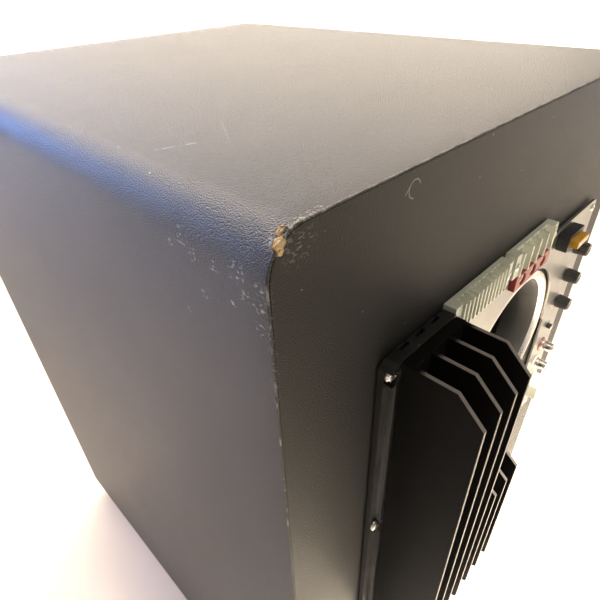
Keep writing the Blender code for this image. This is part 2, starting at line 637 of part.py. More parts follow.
def build_lead(finish):
    """Twin lead held inside the box, from the amplifier's tray to the woofer's terminal."""
    tray_back = Y_REAR - CHASSIS_DEPTH - GAP
    start_x, start_z = WIDTH / 2 - 0.104, Z_TOP - 0.190
    route = [
        (start_x, tray_back, start_z),
        (start_x, tray_back - 0.020, start_z - 0.002),
        (0.082, 0.070, 0.315),
        (0.105, 0.000, 0.262),
        (0.128, -0.090, 0.248),
        (0.138, -0.150, 0.266),
        (0.1250, Y_FRONT + 0.0500, WOOFER_Z),
        (0.1090 + GAP, Y_FRONT + 0.0500, WOOFER_Z),
    ]
    points = smooth_route(route, 4)
    curve = bpy.data.curves.new("speaker_lead", "CURVE")
    curve.dimensions = "3D"
    spline = curve.splines.new("POLY")
    spline.points.add(len(points) - 1)
    for target, point in zip(spline.points, points):
        target.co = (*point, 1.0)
    curve.bevel_depth = 0.0025
    curve.bevel_resolution = 2
    curve.use_fill_caps = True
    curve.materials.append(finish["rubber"])
    obj = bpy.data.objects.new("speaker_lead", curve)
    bpy.context.collection.objects.link(obj)


def finishes():
    return {
        "vinyl": material("black_vinyl", (0.030, 0.029, 0.027), 0.45),
        "mdf": material("mdf", (0.55, 0.40, 0.24), 0.85),
        "rubber": material("rubber", (0.02, 0.02, 0.02), 0.7),
        "foam": material("foam", (0.03, 0.03, 0.03), 0.95),
        "black_steel": material("black_steel", (0.02, 0.02, 0.02), 0.4, 0.3),
        "steel": material("steel", (0.55, 0.55, 0.56), 0.35, 1.0),
        "ferrite": material("ferrite", (0.05, 0.05, 0.055), 0.6),
        "paper": material("cone_paper", (0.03, 0.03, 0.032), 0.75),
        "cap": material("cap", (0.02, 0.02, 0.022), 0.35),
        "cloth": material("spider_cloth", (0.62, 0.42, 0.18), 0.9),
        "copper": material("copper", (0.70, 0.33, 0.16), 0.35, 1.0),
        "silver": material("silver_trim", (0.72, 0.70, 0.66), 0.28, 1.0),
        "port_black": material("port_black", (0.015, 0.015, 0.015), 0.7),
        "black_aluminium": material("black_aluminium", (0.035, 0.034, 0.032), 0.38, 0.7),
        "black_paint": material("black_paint", (0.028, 0.028, 0.026), 0.5),
        "brushed": material("brushed_plate", (0.42, 0.42, 0.40), 0.35, 0.9),
        "pale_nylon": material("pale_nylon", (0.66, 0.68, 0.58), 0.5),
        "red": material("red_plastic", (0.33, 0.03, 0.02), 0.45),
        "nickel": material("nickel", (0.75, 0.73, 0.68), 0.25, 1.0),
        "black_plastic": material("black_plastic", (0.02, 0.02, 0.02), 0.45),
        "fuse": material("fuse_plastic", (0.70, 0.42, 0.04), 0.3),
        "zinc": material("zinc_sheet", (0.60, 0.61, 0.62), 0.4, 1.0),
        "board": material("board_green", (0.03, 0.16, 0.07), 0.5),
        "capacitor": material("capacitor_sleeve", (0.03, 0.04, 0.10), 0.3),
        "screw_black": material("screw_black", (0.03, 0.03, 0.03), 0.35, 0.8),
        "screw_zinc": material("screw_zinc", (0.72, 0.70, 0.66), 0.25, 1.0),
    }


def main():
    for obj in list(bpy.data.objects):
        bpy.data.objects.remove(obj, do_unlink=True)
    finish = finishes()
    front = empty("front_face", (0.0, Y_FRONT, WOOFER_Z), (math.pi / 2, 0.0, 0.0))
    rear = empty("rear_face", (WIDTH / 2, Y_REAR, Z_TOP), (math.pi / 2, 0.0, math.pi))
    cone_axis = empty("cone_axis", (0.0, 0.0, 0.0), parent=front)
    build_cabinet(finish, front, rear)
    build_woofer(finish, front, cone_axis)
    build_port(finish, rear)
    build_frame(finish, rear)
    build_heatsink(finish, rear)
    build_connections(finish, rear)
    build_electronics(finish, rear)
    build_lead(finish)


main()
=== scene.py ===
"""Looks for a powered car subwoofer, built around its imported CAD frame. Metres, +Z up."""

import json
import math

import bmesh
import bpy
from mathutils import Matrix, Vector, noise


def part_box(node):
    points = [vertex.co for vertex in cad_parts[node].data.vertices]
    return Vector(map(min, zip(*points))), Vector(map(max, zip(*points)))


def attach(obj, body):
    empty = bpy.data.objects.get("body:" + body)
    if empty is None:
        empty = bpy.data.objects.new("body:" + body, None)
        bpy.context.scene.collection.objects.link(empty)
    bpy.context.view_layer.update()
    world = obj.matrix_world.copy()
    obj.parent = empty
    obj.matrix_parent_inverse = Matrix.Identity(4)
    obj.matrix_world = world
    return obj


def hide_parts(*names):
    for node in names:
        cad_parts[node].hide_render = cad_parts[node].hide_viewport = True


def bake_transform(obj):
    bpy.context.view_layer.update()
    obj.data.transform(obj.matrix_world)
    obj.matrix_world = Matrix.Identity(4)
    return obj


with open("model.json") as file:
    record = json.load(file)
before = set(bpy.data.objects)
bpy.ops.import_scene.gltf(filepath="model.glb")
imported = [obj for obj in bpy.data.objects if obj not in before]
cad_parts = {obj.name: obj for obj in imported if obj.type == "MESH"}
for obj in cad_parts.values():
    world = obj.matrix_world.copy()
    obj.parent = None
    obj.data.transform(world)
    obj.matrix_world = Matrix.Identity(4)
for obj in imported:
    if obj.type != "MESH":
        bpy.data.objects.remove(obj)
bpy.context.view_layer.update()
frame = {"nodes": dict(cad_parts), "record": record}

NODES = frame["nodes"]
WRAP_LOW, WRAP_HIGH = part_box("vinyl_wrap")
SIDE, REAR, TOP = WRAP_HIGH
FRONT, BASE = WRAP_LOW.y, WRAP_LOW.z
WOOFER_Z = sum(corner.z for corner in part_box("grille_ring")) / 2

# Behind the box: x runs right from its left edge, y up from its top edge, z out of the board.
BEHIND = Matrix(((-1, 0, 0, SIDE), (0, 0, 1, REAR), (0, 1, 0, TOP), (0, 0, 0, 1)))
# Before the box: x runs right, y up, z out of the front board, from the middle of the woofer.
BEFORE = Matrix(((1, 0, 0, 0), (0, 0, -1, FRONT), (0, 1, 0, WOOFER_Z), (0, 0, 0, 1)))
WORLD = Matrix.Identity(4)

# Cabinet
SKIN = 0.0008
EDGE_RADIUS = 0.016
SEAM_ROUND = 0.0005

# Woofer
GRILLE_RADIUS = 0.1362
GRILLE_PITCH = 0.005
GRILLE_BAR = 0.00065
GRILLE_SHEET = 0.0008
SCREW_CIRCLE = 0.147
FRONT_SCREW_SEAT = 0.0061
ROLL_CENTRE = 0.118
ROLL_RADIUS = 0.009
SECTORS = 16

# Amplifier face
PORT = (0.2085, -0.1754)
AMP_SCREW_X = 0.0575
AMP_SCREWS = (-0.085, -0.2, -0.303)
AMP_SCREW_SEAT = 0.0048
PLATE_TOP = 0.0033
CONTROL_X = 0.2985
KNOBS = {"gain_knob": -0.125, "crossover_knob": -0.15, "bass_knob": -0.175}
PLATE_SCREWS = ((0.1115, -0.0985), (0.1115, -0.164), (0.2345, -0.101), (0.312, -0.0985),
                (0.312, -0.2105), (0.2855, -0.303), (0.312, -0.303))
POWER_WELLS = (0.186, 0.2, 0.214)
POWER_WELL_FLOOR = 0.0055
STRIPS = {"terminal_strip": (0.105, 0.164, 11), "link_block": (0.169, 0.225, 4)}
STRIP_EAR = 0.006
STRIP_WALL = 0.0015
STRIP_MIDDLE = -0.08425
KNOB_GAP = 0.0007
KNOB_HEIGHT = 0.0098
FUSE = (0.26, -0.101)
FUSE_BLADE = 0.007
SOCKET_BASE = 0.0036
RCA_SOCKETS = ((-0.222, "red_plastic"), (-0.243, "pale_nylon"))
LEVEL_SOCKET = -0.269

# Speaker lead
LEAD_DIAMETER = 0.005

# Screws: head radius, head height, shank radius and length
BRIGHT_SCREW = (0.0036, 0.0024, 0.0016, 0.004)
SMALL_SCREW = (0.0026, 0.0014, 0.0011, 0.0018)
TINY_SCREW = (0.0022, 0.0011, 0.0009, 0.0015)
TERMINAL_SCREW = (0.0034, 0.0012, 0.0012, 0.0016)

# Chip in the rear top corner: angle and radius round the edge's axis, depth, and the size of each bite
CHIP_LUMPS = (
    (50.0, 0.016, 0.001, (0.0027, 0.0017, 0.0016)),
    (63.0, 0.0161, 0.0027, (0.0022, 0.001, 0.0013)),
    (43.0, 0.0145, 0.0000, (0.0015, 0.0012, 0.001)),
)
# Slivers of vinyl beside it: root, way they point, way across them, length and width
SLIVERS = (
    ((62.0, 0.0161, 0.0012), (0.15, 0.55, -0.8), (1.0, 0.1, 0.2), 0.003, 0.00045),
    ((68.0, 0.0161, 0.001), (0.5, -0.8, -0.1), (0.5, 0.3, 0.8), 0.0026, 0.0007),
)


# ------------ shader bench


class Link:
    """A shader socket that can be used in sums like a number."""

    def __init__(self, finish, socket):
        self.finish = finish
        self.socket = socket

    def maths(self, operation, *values):
        return self.finish.node("ShaderNodeMath", {"operation": operation}, dict(enumerate(values)))

    def __add__(self, other):
        return self.maths("ADD", self, other)

    def __radd__(self, other):
        return self.maths("ADD", other, self)

    def __sub__(self, other):
        return self.maths("SUBTRACT", self, other)

    def __rsub__(self, other):
        return self.maths("SUBTRACT", other, self)

    def __mul__(self, other):
        return self.maths("MULTIPLY", self, other)

    def __rmul__(self, other):
        return self.maths("MULTIPLY", other, self)

    def __abs__(self):
        return self.maths("ABSOLUTE", self)

    def over(self, other):
        """The larger of the two."""
        return self.maths("MAXIMUM", self, other)

    def fade(self, start, stop):
        """Goes smoothly from 0 at start to 1 at stop, and stays there."""
        settings = {"interpolation_type": "SMOOTHSTEP"}
        return self.finish.node("ShaderNodeMapRange", settings, {0: self, 1: start, 2: stop})


class Finish:
    """One material, with the patterns its surface is made from."""

    def __init__(self, name):
        self.material = bpy.data.materials.new(name)
        self.material.use_nodes = True
        self.tree = self.material.node_tree
        self.shader = self.tree.nodes["Principled BSDF"]
        self.place = self.node("ShaderNodeTexCoord", {}, {}, "Object")

    def node(self, kind, settings, sockets, output=0):
        made = self.tree.nodes.new(kind)
        for name, setting in settings.items():
            setattr(made, name, setting)
        for name, value in sockets.items():
            self.feed(made.inputs[name], value)
        return Link(self, made.outputs[output])

    def feed(self, socket, value):
        if isinstance(value, Link):
            self.tree.links.new(value.socket, socket)
        else:
            socket.default_value = value

    def vector(self, operation, *values, output=0):
        return self.node("ShaderNodeVectorMath", {"operation": operation}, dict(enumerate(values)), output)

    def cloud(self, size, detail=2.0, stretch=None):
        """Soft random pattern; size is its grain in metres."""
        place = self.vector("MULTIPLY", self.place, stretch) if stretch else self.place
        return self.node("ShaderNodeTexNoise", {}, {"Vector": place, "Scale": 1 / size, "Detail": detail})

    def cells(self, size, feature="F1"):
        """Distance from the middle of scattered cells."""
        sockets = {"Vector": self.place, "Scale": 1 / size}
        return self.node("ShaderNodeTexVoronoi", {"feature": feature}, sockets)

    def waves(self, size, axis, distortion=0.0):
        settings = {"wave_type": "BANDS", "bands_direction": axis}
        sockets = {"Vector": self.place, "Scale": 1 / (math.pi * size), "Distortion": distortion}
        return self.node("ShaderNodeTexWave", settings, sockets)

    def reach(self, point):
        """Distance from a point."""
        return self.vector("DISTANCE", self.place, point, output="Value")

    def line(self, start, stop):
        """Distance from a straight line between two points."""
        along = Vector(stop) - Vector(start)
        offset = self.vector("SUBTRACT", self.place, start)
        share = self.vector("DOT_PRODUCT", offset, tuple(along / along.length_squared), output="Value")
        share = self.node("ShaderNodeClamp", {}, {0: share, 1: 0.0, 2: 1.0})
        foot = self.vector("SCALE", tuple(along))
        self.feed(foot.socket.node.inputs["Scale"], share)
        return self.vector("DISTANCE", offset, foot, output="Value")

    def mix(self, share, first, second):
        """Colour that goes from first to second."""
        return self.node("ShaderNodeMix", {"data_type": "RGBA"}, {0: share, 6: first, 7: second}, 2)

    def bump(self, height, depth):
        return self.node("ShaderNodeBump", {}, {"Height": height, "Distance": depth})

    def specks(self, size, amount):
        """Scattered small spots; amount is the share of cells that hold one."""
        cell = self.cells(size)
        colour = Link(self, cell.socket.node.outputs["Color"])
        pick = self.node("ShaderNodeSeparateColor", {}, {0: colour})
        chosen = pick.fade(1 - amount, 1 - amount + 0.002)
        return chosen * cell.fade(0.11, 0.05)

    def set(self, **values):
        """Sets the shader's own inputs, named in lower case with underscores."""
        for name, value in values.items():
            self.feed(self.shader.inputs[name.replace("_", " ").title().replace("Ior", "IOR")], value)
        return self


def shade(red, green, blue):
    """Colour as a shader socket takes it."""
    return (red, green, blue, 1.0)


# Frayed spot on the rear rim of the lid
FRAY = (SIDE - 0.0066, REAR - 0.0016, TOP - 0.0029)
# Pale colour of dust, lint and wear, also used for the painted highlight along the rear top edge of the lid.
DUST_AND_SHEEN = shade(0.42, 0.4, 0.36)
TORN_PALER = -0.06


# ------------ finishes


def pebbled(finish, depth):
    """Leather grain pressed into the vinyl: rounded pebbles with finer creases between them."""
    pebbles = 1 - finish.cells(0.00046, "SMOOTH_F1")
    creases = finish.cloud(0.00028, 3.0)
    return finish.bump(pebbles * 0.7 + creases * 0.45, depth)


def scuffs(finish):
    """Pale rub marks round the rear top corner of the left side, and down its seam."""
    spots = (
        (0.1547, 0.5311, 0.005), (0.1606, 0.5268, 0.004), (0.1826, 0.5293, 0.0052), (0.1784, 0.5168, 0.003),
        (0.185, 0.5225, 0.004), (0.1928, 0.5278, 0.0034), (0.1631, 0.5134, 0.003), (0.15, 0.5003, 0.0026),
        (0.1916, 0.5217, 0.0042), (0.1477, 0.5276, 0.0034), (0.1919, 0.5135, 0.004), (0.1712, 0.527, 0.0035),
    )
    patch = None
    for y, z, radius in spots:
        spot = finish.reach((SIDE, y, z)).fade(radius, radius * 0.3)
        patch = spot if patch is None else patch.over(spot)
    flecks = finish.cloud(0.0014, 4.0, (1.0, 0.7, 1.2)).fade(0.55, 0.64)
    return patch * flecks


def seam_wear(finish):
    """Worn edge where the wrap of the side meets the rear board."""
    start = (SIDE, REAR, TOP - EDGE_RADIUS * 0.6)
    pale_marks = finish.line(start, (SIDE, REAR, TOP - 0.135)).fade(0.0007, 0.0003)
    paler_area = finish.line((SIDE, REAR, TOP - EDGE_RADIUS), (SIDE, REAR, TOP - 0.06)).fade(0.003, 0.0004)
    broken = finish.cloud(0.0024, 4.0, (1.0, 1.0, 0.35)).fade(0.5, 0.62)
    fine = finish.cloud(0.0009, 3.0).fade(0.58, 0.68)
    return (pale_marks * broken * 0.8).over(paler_area * fine * 0.7)


def top_marks(finish):
    """Fine scratches and a rubbed spot on the lid, and a painted highlight along its rear top edge."""
    scratch = finish.line((SIDE - 0.0202, REAR - 0.0839, TOP), (SIDE - 0.035, REAR - 0.0789, TOP))
    cross = finish.line((SIDE - 0.045, REAR - 0.07, TOP), (SIDE - 0.062, REAR - 0.098, TOP))
    rim = finish.line((SIDE - 0.006, REAR, TOP), (SIDE - 0.023, REAR - 0.001, TOP)).fade(0.003, 0.0006)
    fine = finish.cloud(0.0009, 3.0).fade(0.5, 0.6)
    # Painted highlight: a thin pale line along the rear top edge of the lid, where the rounded edge catches
    # the light.
    edge = finish.line((SIDE - 0.008, REAR, TOP), (-SIDE + 0.02, REAR, TOP)).fade(0.0008, 0.0003)
    edge = edge * finish.cloud(0.006, 4.0).fade(0.3, 0.6) * 0.55
    frayed = finish.reach(FRAY).fade(0.0048, 0.0022) * finish.cloud(0.0012, 4.0).fade(0.5, 0.58)
    long_marks = scratch.fade(0.0005, 0.0001).over(cross.fade(0.0003, 0.0001) * 0.5)
    return (long_marks * finish.cloud(0.002, 2.0).fade(0.4, 0.55)).over(rim * fine).over(edge).over(frayed)


def board_marks(finish):
    """Lint, a curled hair and rub marks on the plain part of the rear board."""
    centre = Vector((SIDE - 0.069, REAR, TOP - 0.0085))
    ring = abs(finish.reach(tuple(centre)) - 0.0034).fade(0.00035, 0.00008)
    away = finish.reach(tuple(centre + Vector((-0.003, 0.0, -0.0024)))).fade(0.003, 0.0036)
    ends = [tuple(centre + Vector(step)) for step in ((0.003, 0.0, 0.0018), (0.0054, 0.0, -0.0008))]
    tail = finish.line(*ends)
    hair = (ring * away).over(tail.fade(0.00035, 0.00008))
    corner = finish.reach((SIDE - 0.013, REAR, TOP - 0.007)).fade(0.01, 0.002)
    paler_area = corner * finish.cloud(0.0016, 4.0, (1.0, 1.0, 1.8)).fade(0.56, 0.64)
    return (hair * 0.8).over(paler_area * 0.5)


def vinyl_finish(name, marks):
    """Grained black vinyl, semi-gloss, with the dust and wear it has picked up, and on the lid a painted
    highlight along the rear top edge.
    """
    finish = Finish(name)
    tone = finish.cloud(0.03, 3.0)
    colour = finish.mix(tone, shade(0.016, 0.0145, 0.0125), shade(0.024, 0.022, 0.019))
    pale_marks = None
    for mark in marks:
        drawn = mark(finish)
        pale_marks = drawn if pale_marks is None else pale_marks.over(drawn)
    pale_marks = pale_marks.over(finish.specks(0.005, 0.16) * 0.9)
    # Dust, lint and wear are painted pale here, and so is the painted highlight along the rear top edge of the
    # lid.
    colour = finish.mix(pale_marks * 0.85, colour, DUST_AND_SHEEN)
    haze = finish.cloud(0.07, 4.0).fade(0.3, 0.8)
    rough = 0.33 + haze * 0.03 + finish.cloud(0.0006, 1.0) * 0.14 + pale_marks * 0.25
    return finish.set(base_color=colour, roughness=rough, normal=pebbled(finish, 0.0014))


def bare_board(name, dark=0.0):
    """Raw fibreboard: packed fibres with darker flecks."""
    finish = Finish(name)
    fibres = finish.cloud(0.0007, 4.0, (1.0, 2.2, 0.5))
    flecks = finish.cells(0.0016).fade(0.25, 0.12)
    pale = shade(0.7 - dark, 0.5 - dark, 0.28 - dark)
    colour = finish.mix(fibres, shade(0.42 - dark, 0.27 - dark, 0.13), pale)
    colour = finish.mix(flecks * 0.5, colour, shade(0.28, 0.17, 0.08))
    height = fibres + finish.cloud(0.0022, 3.0) * 0.8
    return finish.set(base_color=colour, roughness=0.82 + fibres * 0.1, normal=finish.bump(height, 0.0004))


def cast(name, colour, rough, metal=0.0, grain=0.0006, depth=0.00003, spread=0.12, dust=0.05, coat=0.0):
    """Moulded, painted or plated surface: fine grain, uneven gloss, rubbed patches and a little dust."""
    finish = Finish(name)
    fine = finish.cloud(grain, 3.0)
    patches = finish.cloud(0.018, 4.0).fade(0.35, 0.7)
    pale = tuple(min(1.0, part * 1.25 + 0.004) for part in colour)
    tinted = finish.mix(patches * 0.6 + fine * 0.3, shade(*colour), shade(*pale))
    specks = finish.specks(0.0045, dust)
    tinted = finish.mix(specks * 0.6, tinted, DUST_AND_SHEEN)
    uneven = rough + (patches - 0.5) * spread + (fine - 0.5) * 0.06 + specks * 0.2
    finish.set(base_color=tinted, roughness=uneven, metallic=metal, normal=finish.bump(fine, depth))
    if coat:
        finish.set(coat_weight=coat, coat_roughness=0.2)
    return finish


def brushed(name, colour, rough, metal, stretch, depth=0.00002, tint=0.25):
    """Metal drawn or brushed along one way, with streaks and faint smears."""
    finish = Finish(name)
    streaks = finish.cloud(0.0005, 4.0, stretch)
    broad = finish.cloud(0.003, 3.0, stretch)
    smears = finish.cloud(0.025, 4.0).fade(0.4, 0.7)
    dark = tuple(part * (1 - tint) for part in colour)
    tinted = finish.mix(streaks * 0.6 + broad * 0.4, shade(*dark), shade(*colour))
    specks = finish.specks(0.005, 0.05)
    tinted = finish.mix(specks * 0.5, tinted, DUST_AND_SHEEN)
    uneven = rough + (streaks - 0.5) * 0.16 + smears * 0.1 + specks * 0.2
    height = streaks * 0.7 + broad * 0.3
    return finish.set(base_color=tinted, roughness=uneven, metallic=metal, normal=finish.bump(height, depth))


def fin_finish(name):
    """Black anodised extrusion, with a painted highlight along the sawn edges of its fins: their outer faces
    that do not face sideways are painted paler.
    """
    finish = Finish(name)
    streaks = finish.cloud(0.0006, 4.0, (1.0, 1.0, 0.03))
    facing = finish.node("ShaderNodeSeparateXYZ", {}, {0: finish.node("ShaderNodeTexCoord", {}, {}, 1)})
    proud = finish.node("ShaderNodeSeparateXYZ", {}, {0: finish.place}, 1)
    # Painted highlight: the outer fin faces and edges that do not face sideways are painted a paler grey.
    edges = abs(facing).fade(0.9, 0.4) * proud.fade(REAR + 0.016, REAR + 0.02)
    paler_area = edges * (0.55 + finish.cloud(0.005, 4.0) * 0.8)
    black = finish.mix(streaks, shade(0.004, 0.0037, 0.0034), shade(0.009, 0.0083, 0.0075))
    colour = finish.mix(paler_area, black, shade(0.2, 0.18, 0.165))
    specks = finish.specks(0.005, 0.05)
    colour = finish.mix(specks * 0.5, colour, DUST_AND_SHEEN)
    rough = 0.4 + (streaks - 0.5) * 0.16 + specks * 0.2
    finish.set(base_color=colour, roughness=rough, normal=finish.bump(streaks, 0.000015))
    return finish.set(specular_ior_level=0.05)


def paper_finish(name):
    """Pressed and doped paper pulp."""
    finish = Finish(name)
    pulp = finish.cloud(0.0013, 5.0)
    strands = finish.cells(0.002, "DISTANCE_TO_EDGE").fade(0.1, 0.02)
    colour = finish.mix(pulp, shade(0.016, 0.016, 0.018), shade(0.04, 0.04, 0.043))
    colour = finish.mix(strands * 0.2, colour, shade(0.09, 0.088, 0.085))
    height = pulp + strands * 0.3
    return finish.set(base_color=colour, roughness=0.62 + pulp * 0.2, normal=finish.bump(height, 0.00022))


def woven_finish(name):
    """Resin-dipped cotton weave."""
    finish = Finish(name)
    warp = finish.waves(0.0009, "X")
    weft = finish.waves(0.0009, "Z")
    threads = warp.over(weft)
    colour = finish.mix(threads, shade(0.34, 0.21, 0.08), shade(0.66, 0.45, 0.2))
    colour = finish.mix(finish.cloud(0.012, 3.0) * 0.4, colour, shade(0.5, 0.3, 0.11))
    return finish.set(base_color=colour, roughness=0.78 + threads * 0.12, normal=finish.bump(threads, 0.0002))


def wound_finish(name):
    """Enamelled copper wire laid turn by turn."""
    finish = Finish(name)
    turns = finish.waves(0.0008, "Y", 0.3)
    colour = finish.mix(turns, shade(0.32, 0.12, 0.04), shade(0.8, 0.38, 0.17))
    rough = 0.28 + finish.cloud(0.004, 3.0) * 0.2
    return finish.set(base_color=colour, roughness=rough, metallic=1.0, normal=finish.bump(turns, 0.0002))


def circuit_finish(name):
    """Solder mask with the copper tracks showing through it."""
    finish = Finish(name)
    tracks = finish.cells(0.004, "DISTANCE_TO_EDGE").fade(0.1, 0.07)
    colour = finish.mix(tracks, shade(0.012, 0.085, 0.035), shade(0.03, 0.2, 0.08))
    pads = finish.specks(0.003, 0.35)
    colour = finish.mix(pads, colour, shade(0.6, 0.6, 0.58))
    height = tracks * 0.4 + pads
    rough = 0.3 + finish.cloud(0.005, 3.0) * 0.2
    finish.set(metallic=pads * 0.8, normal=finish.bump(height, 0.0001))
    return finish.set(base_color=colour, roughness=rough)


def moulded_finishes():
    """Moulded, painted and plated finishes: colour, roughness and what else sets each apart."""
    kinds = {
        "rubber": ((0.018, 0.018, 0.018), 0.62, {"depth": 0.00006}),
        "foam": ((0.026, 0.026, 0.026), 0.92, {"grain": 0.0009, "depth": 0.0004}),
        "black_steel": ((0.018, 0.018, 0.019), 0.42, {"metal": 0.3, "grain": 0.0004, "depth": 0.00004}),
        "ferrite": ((0.05, 0.05, 0.055), 0.55, {"grain": 0.001, "depth": 0.0001}),
        "cap": ((0.016, 0.016, 0.018), 0.34, {"grain": 0.0012, "depth": 0.00005, "dust": 0.03, "coat": 0.3}),
        "port_black": ((0.02, 0.019, 0.017), 0.6, {"grain": 0.0008, "depth": 0.00006}),
        "black_paint": ((0.014, 0.013, 0.012), 0.46, {"metal": 0.1, "grain": 0.0005, "depth": 0.00009}),
        "pale_nylon": ((0.62, 0.64, 0.53), 0.45, {"grain": 0.0004, "depth": 0.00002}),
        "red_plastic": ((0.24, 0.022, 0.014), 0.36, {"coat": 0.3}),
        "black_plastic": ((0.018, 0.018, 0.018), 0.42, {"grain": 0.0004, "depth": 0.00005}),
        "fuse_plastic": ((0.62, 0.33, 0.03), 0.22, {"depth": 0.00001, "coat": 0.6}),
        "capacitor_sleeve": ((0.03, 0.04, 0.1), 0.25, {"coat": 0.5}),
        "screw_black": ((0.03, 0.03, 0.031), 0.34, {"metal": 0.8, "grain": 0.0005}),
        "white_print": ((0.75, 0.75, 0.72), 0.5, {"grain": 0.0003, "depth": 0.00001, "dust": 0.0}),
    }
    return {name: cast(name, colour, rough, **rest) for name, (colour, rough, rest) in kinds.items()}


def metal_finishes():
    """Bare metals: colour, roughness, how metallic, the way of the brushing and what else differs."""
    across = (0.03, 1.0, 1.0)
    around = (0.5, 1.0, 0.5)
    kinds = {
        "steel": ((0.55, 0.55, 0.56), 0.32, 1.0, around, {}),
        "silver_trim": ((0.8, 0.775, 0.73), 0.27, 1.0, around, {"depth": 0.00001, "tint": 0.12}),
        "brushed_plate": ((0.46, 0.455, 0.43), 0.33, 0.9, across, {}),
        "nickel": ((0.78, 0.76, 0.71), 0.2, 1.0, around, {"depth": 0.000006, "tint": 0.1}),
        "zinc_sheet": ((0.6, 0.61, 0.62), 0.36, 1.0, across, {}),
        "screw_zinc": ((0.78, 0.755, 0.7), 0.24, 1.0, around, {"depth": 0.000008, "tint": 0.2}),
    }
    return {name: brushed(name, *settings, **rest) for name, (*settings, rest) in kinds.items()}


def make_finishes():
    """Every finish by its slot's name."""
    made = moulded_finishes() | metal_finishes()
    made["black_vinyl"] = vinyl_finish("black_vinyl", (scuffs, seam_wear, top_marks))
    made["vinyl_board"] = vinyl_finish("vinyl_board", (board_marks, seam_wear))
    made["mdf"] = bare_board("mdf")
    made["torn_board"] = bare_board("torn_board", TORN_PALER)
    made["cone_paper"] = paper_finish("cone_paper")
    made["spider_cloth"] = woven_finish("spider_cloth")
    made["copper"] = wound_finish("copper")
    made["black_aluminium"] = fin_finish("black_aluminium")
    made["board_green"] = circuit_finish("board_green")
    made["fuse_plastic"].set(transmission_weight=0.25)
    made["vinyl_board"].set(specular_ior_level=0.34)
    return {name: finish.material for name, finish in made.items()}


# ------------ mesh bench


def made_of(name, bm, finish, place=WORLD):
    """Object whose mesh is a bmesh drawn on a face of the box."""
    bmesh.ops.transform(bm, matrix=place, verts=bm.verts[:])
    bmesh.ops.recalc_face_normals(bm, faces=bm.faces[:])
    mesh = bpy.data.meshes.new(name)
    bm.to_mesh(mesh)
    bm.free()
    mesh.materials.append(FINISHES[finish])
    return linked(bpy.data.objects.new(name, mesh))


def linked(obj):
    bpy.context.scene.collection.objects.link(obj)
    return obj


def smooth(obj, sharp):
    """Smooth shading, apart from edges that turn by more than sharp degrees."""
    obj.data.shade_smooth()
    obj.data.set_sharp_from_angle(angle=math.radians(sharp))


def piece(name, bm, finish, place=WORLD, body="cabinet", stands_for=(), bevel=0.0, sharp=32.0, slot=None):
    """Turns a bmesh drawn on a face of the box into a finished piece that rides on a body.

    Its slot is its finish unless another is given, but nothing uses the slot. A name that ends in _body stands
    for that node.
    """
    slot = slot or finish
    if name.endswith("_body"):
        stands_for = (name.removesuffix("_body"),)
    obj = made_of(name, bm, finish, place)
    smooth(obj, sharp)
    if bevel:
        rounding = obj.modifiers.new("edge_rounding", "BEVEL")
        rounding.width = bevel
        rounding.segments = 2
        rounding.limit_method = "ANGLE"
        rounding.angle_limit = math.radians(28)
        rounding.use_clamp_overlap = True
        rounding.harden_normals = True
    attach(obj, body)
    if stands_for:
        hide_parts(*stands_for)
    return obj


def from_node(node):
    """Copy of a CAD part's shape, with its triangles joined back into flat faces."""
    bm = bmesh.new()
    bm.from_mesh(NODES[node].data)
    bmesh.ops.remove_doubles(bm, verts=bm.verts[:], dist=0.00001)
    bmesh.ops.dissolve_limit(bm, angle_limit=math.radians(0.8), verts=bm.verts[:], edges=bm.edges[:])
    return bm


def rounded(node, finish, bevel, body="cabinet"):
    """A CAD part with its edges eased."""
    return piece(f"{node}_body", from_node(node), finish, body=body, bevel=bevel, slot=SLOTS[node])


def circle(radius, segments, x=0.0, y=0.0, start=0.0):
    """Points round a circle, the first at an angle of start."""
    steps = [start + math.tau * i / segments for i in range(segments)]
    return [(x + radius * math.cos(a), y + radius * math.sin(a)) for a in steps]


def add_turned(bm, profile, segments, at=(0.0, 0.0), closed=False, start=0.0, sweep=math.tau):
    """A (radius, height) profile turned about an axis at a place; a partial sweep is capped."""
    whole = sweep >= math.tau - 1e-6
    count = segments if whole else segments + 1
    rings = []
    for radius, height in profile:
        if radius < 1e-7:
            rings.append([bm.verts.new((at[0], at[1], height))] * count)
            continue
        ring = []
        for i in range(count):
            angle = start + sweep * i / segments
            x, y = at[0] + radius * math.cos(angle), at[1] + radius * math.sin(angle)
            ring.append(bm.verts.new((x, y, height)))
        rings.append(ring)
    pairs = list(zip(rings, rings[1:]))
    if closed:
        pairs.append((rings[-1], rings[0]))
    for lower, upper in pairs:
        for i in range(segments):
            j = (i + 1) % count
            corners = list(dict.fromkeys((lower[i], lower[j], upper[j], upper[i])))
            if len(corners) > 2:
                bm.faces.new(corners)
    if not whole:
        for i in (0, count - 1):
            bm.faces.new([ring[i] for ring in rings])


def bridge(bm, lower, upper):
    """Band of faces between two rings with the same number of corners."""
    count = len(lower)
    for i in range(count):
        j = (i + 1) % count
        bm.faces.new((lower[i], lower[j], upper[j], upper[i]))


def add_prism(bm, outline, low, high):
    """Outline raised from low to high."""
    floor = [bm.verts.new((x, y, low)) for x, y in outline]
    roof = [bm.verts.new((x, y, high)) for x, y in outline]
    bm.faces.new(floor[::-1])
    bm.faces.new(roof)
    bridge(bm, floor, roof)


def add_bar(bm, x0, x1, y0, y1, low, high, turn=0.0, about=(0.0, 0.0)):
    """Straight bar, turned about a place."""
    corners = ((x0, y0), (x1, y0), (x1, y1), (x0, y1))
    c, s = math.cos(turn), math.sin(turn)
    add_prism(bm, [(about[0] + x * c - y * s, about[1] + x * s + y * c) for x, y in corners], low, high)


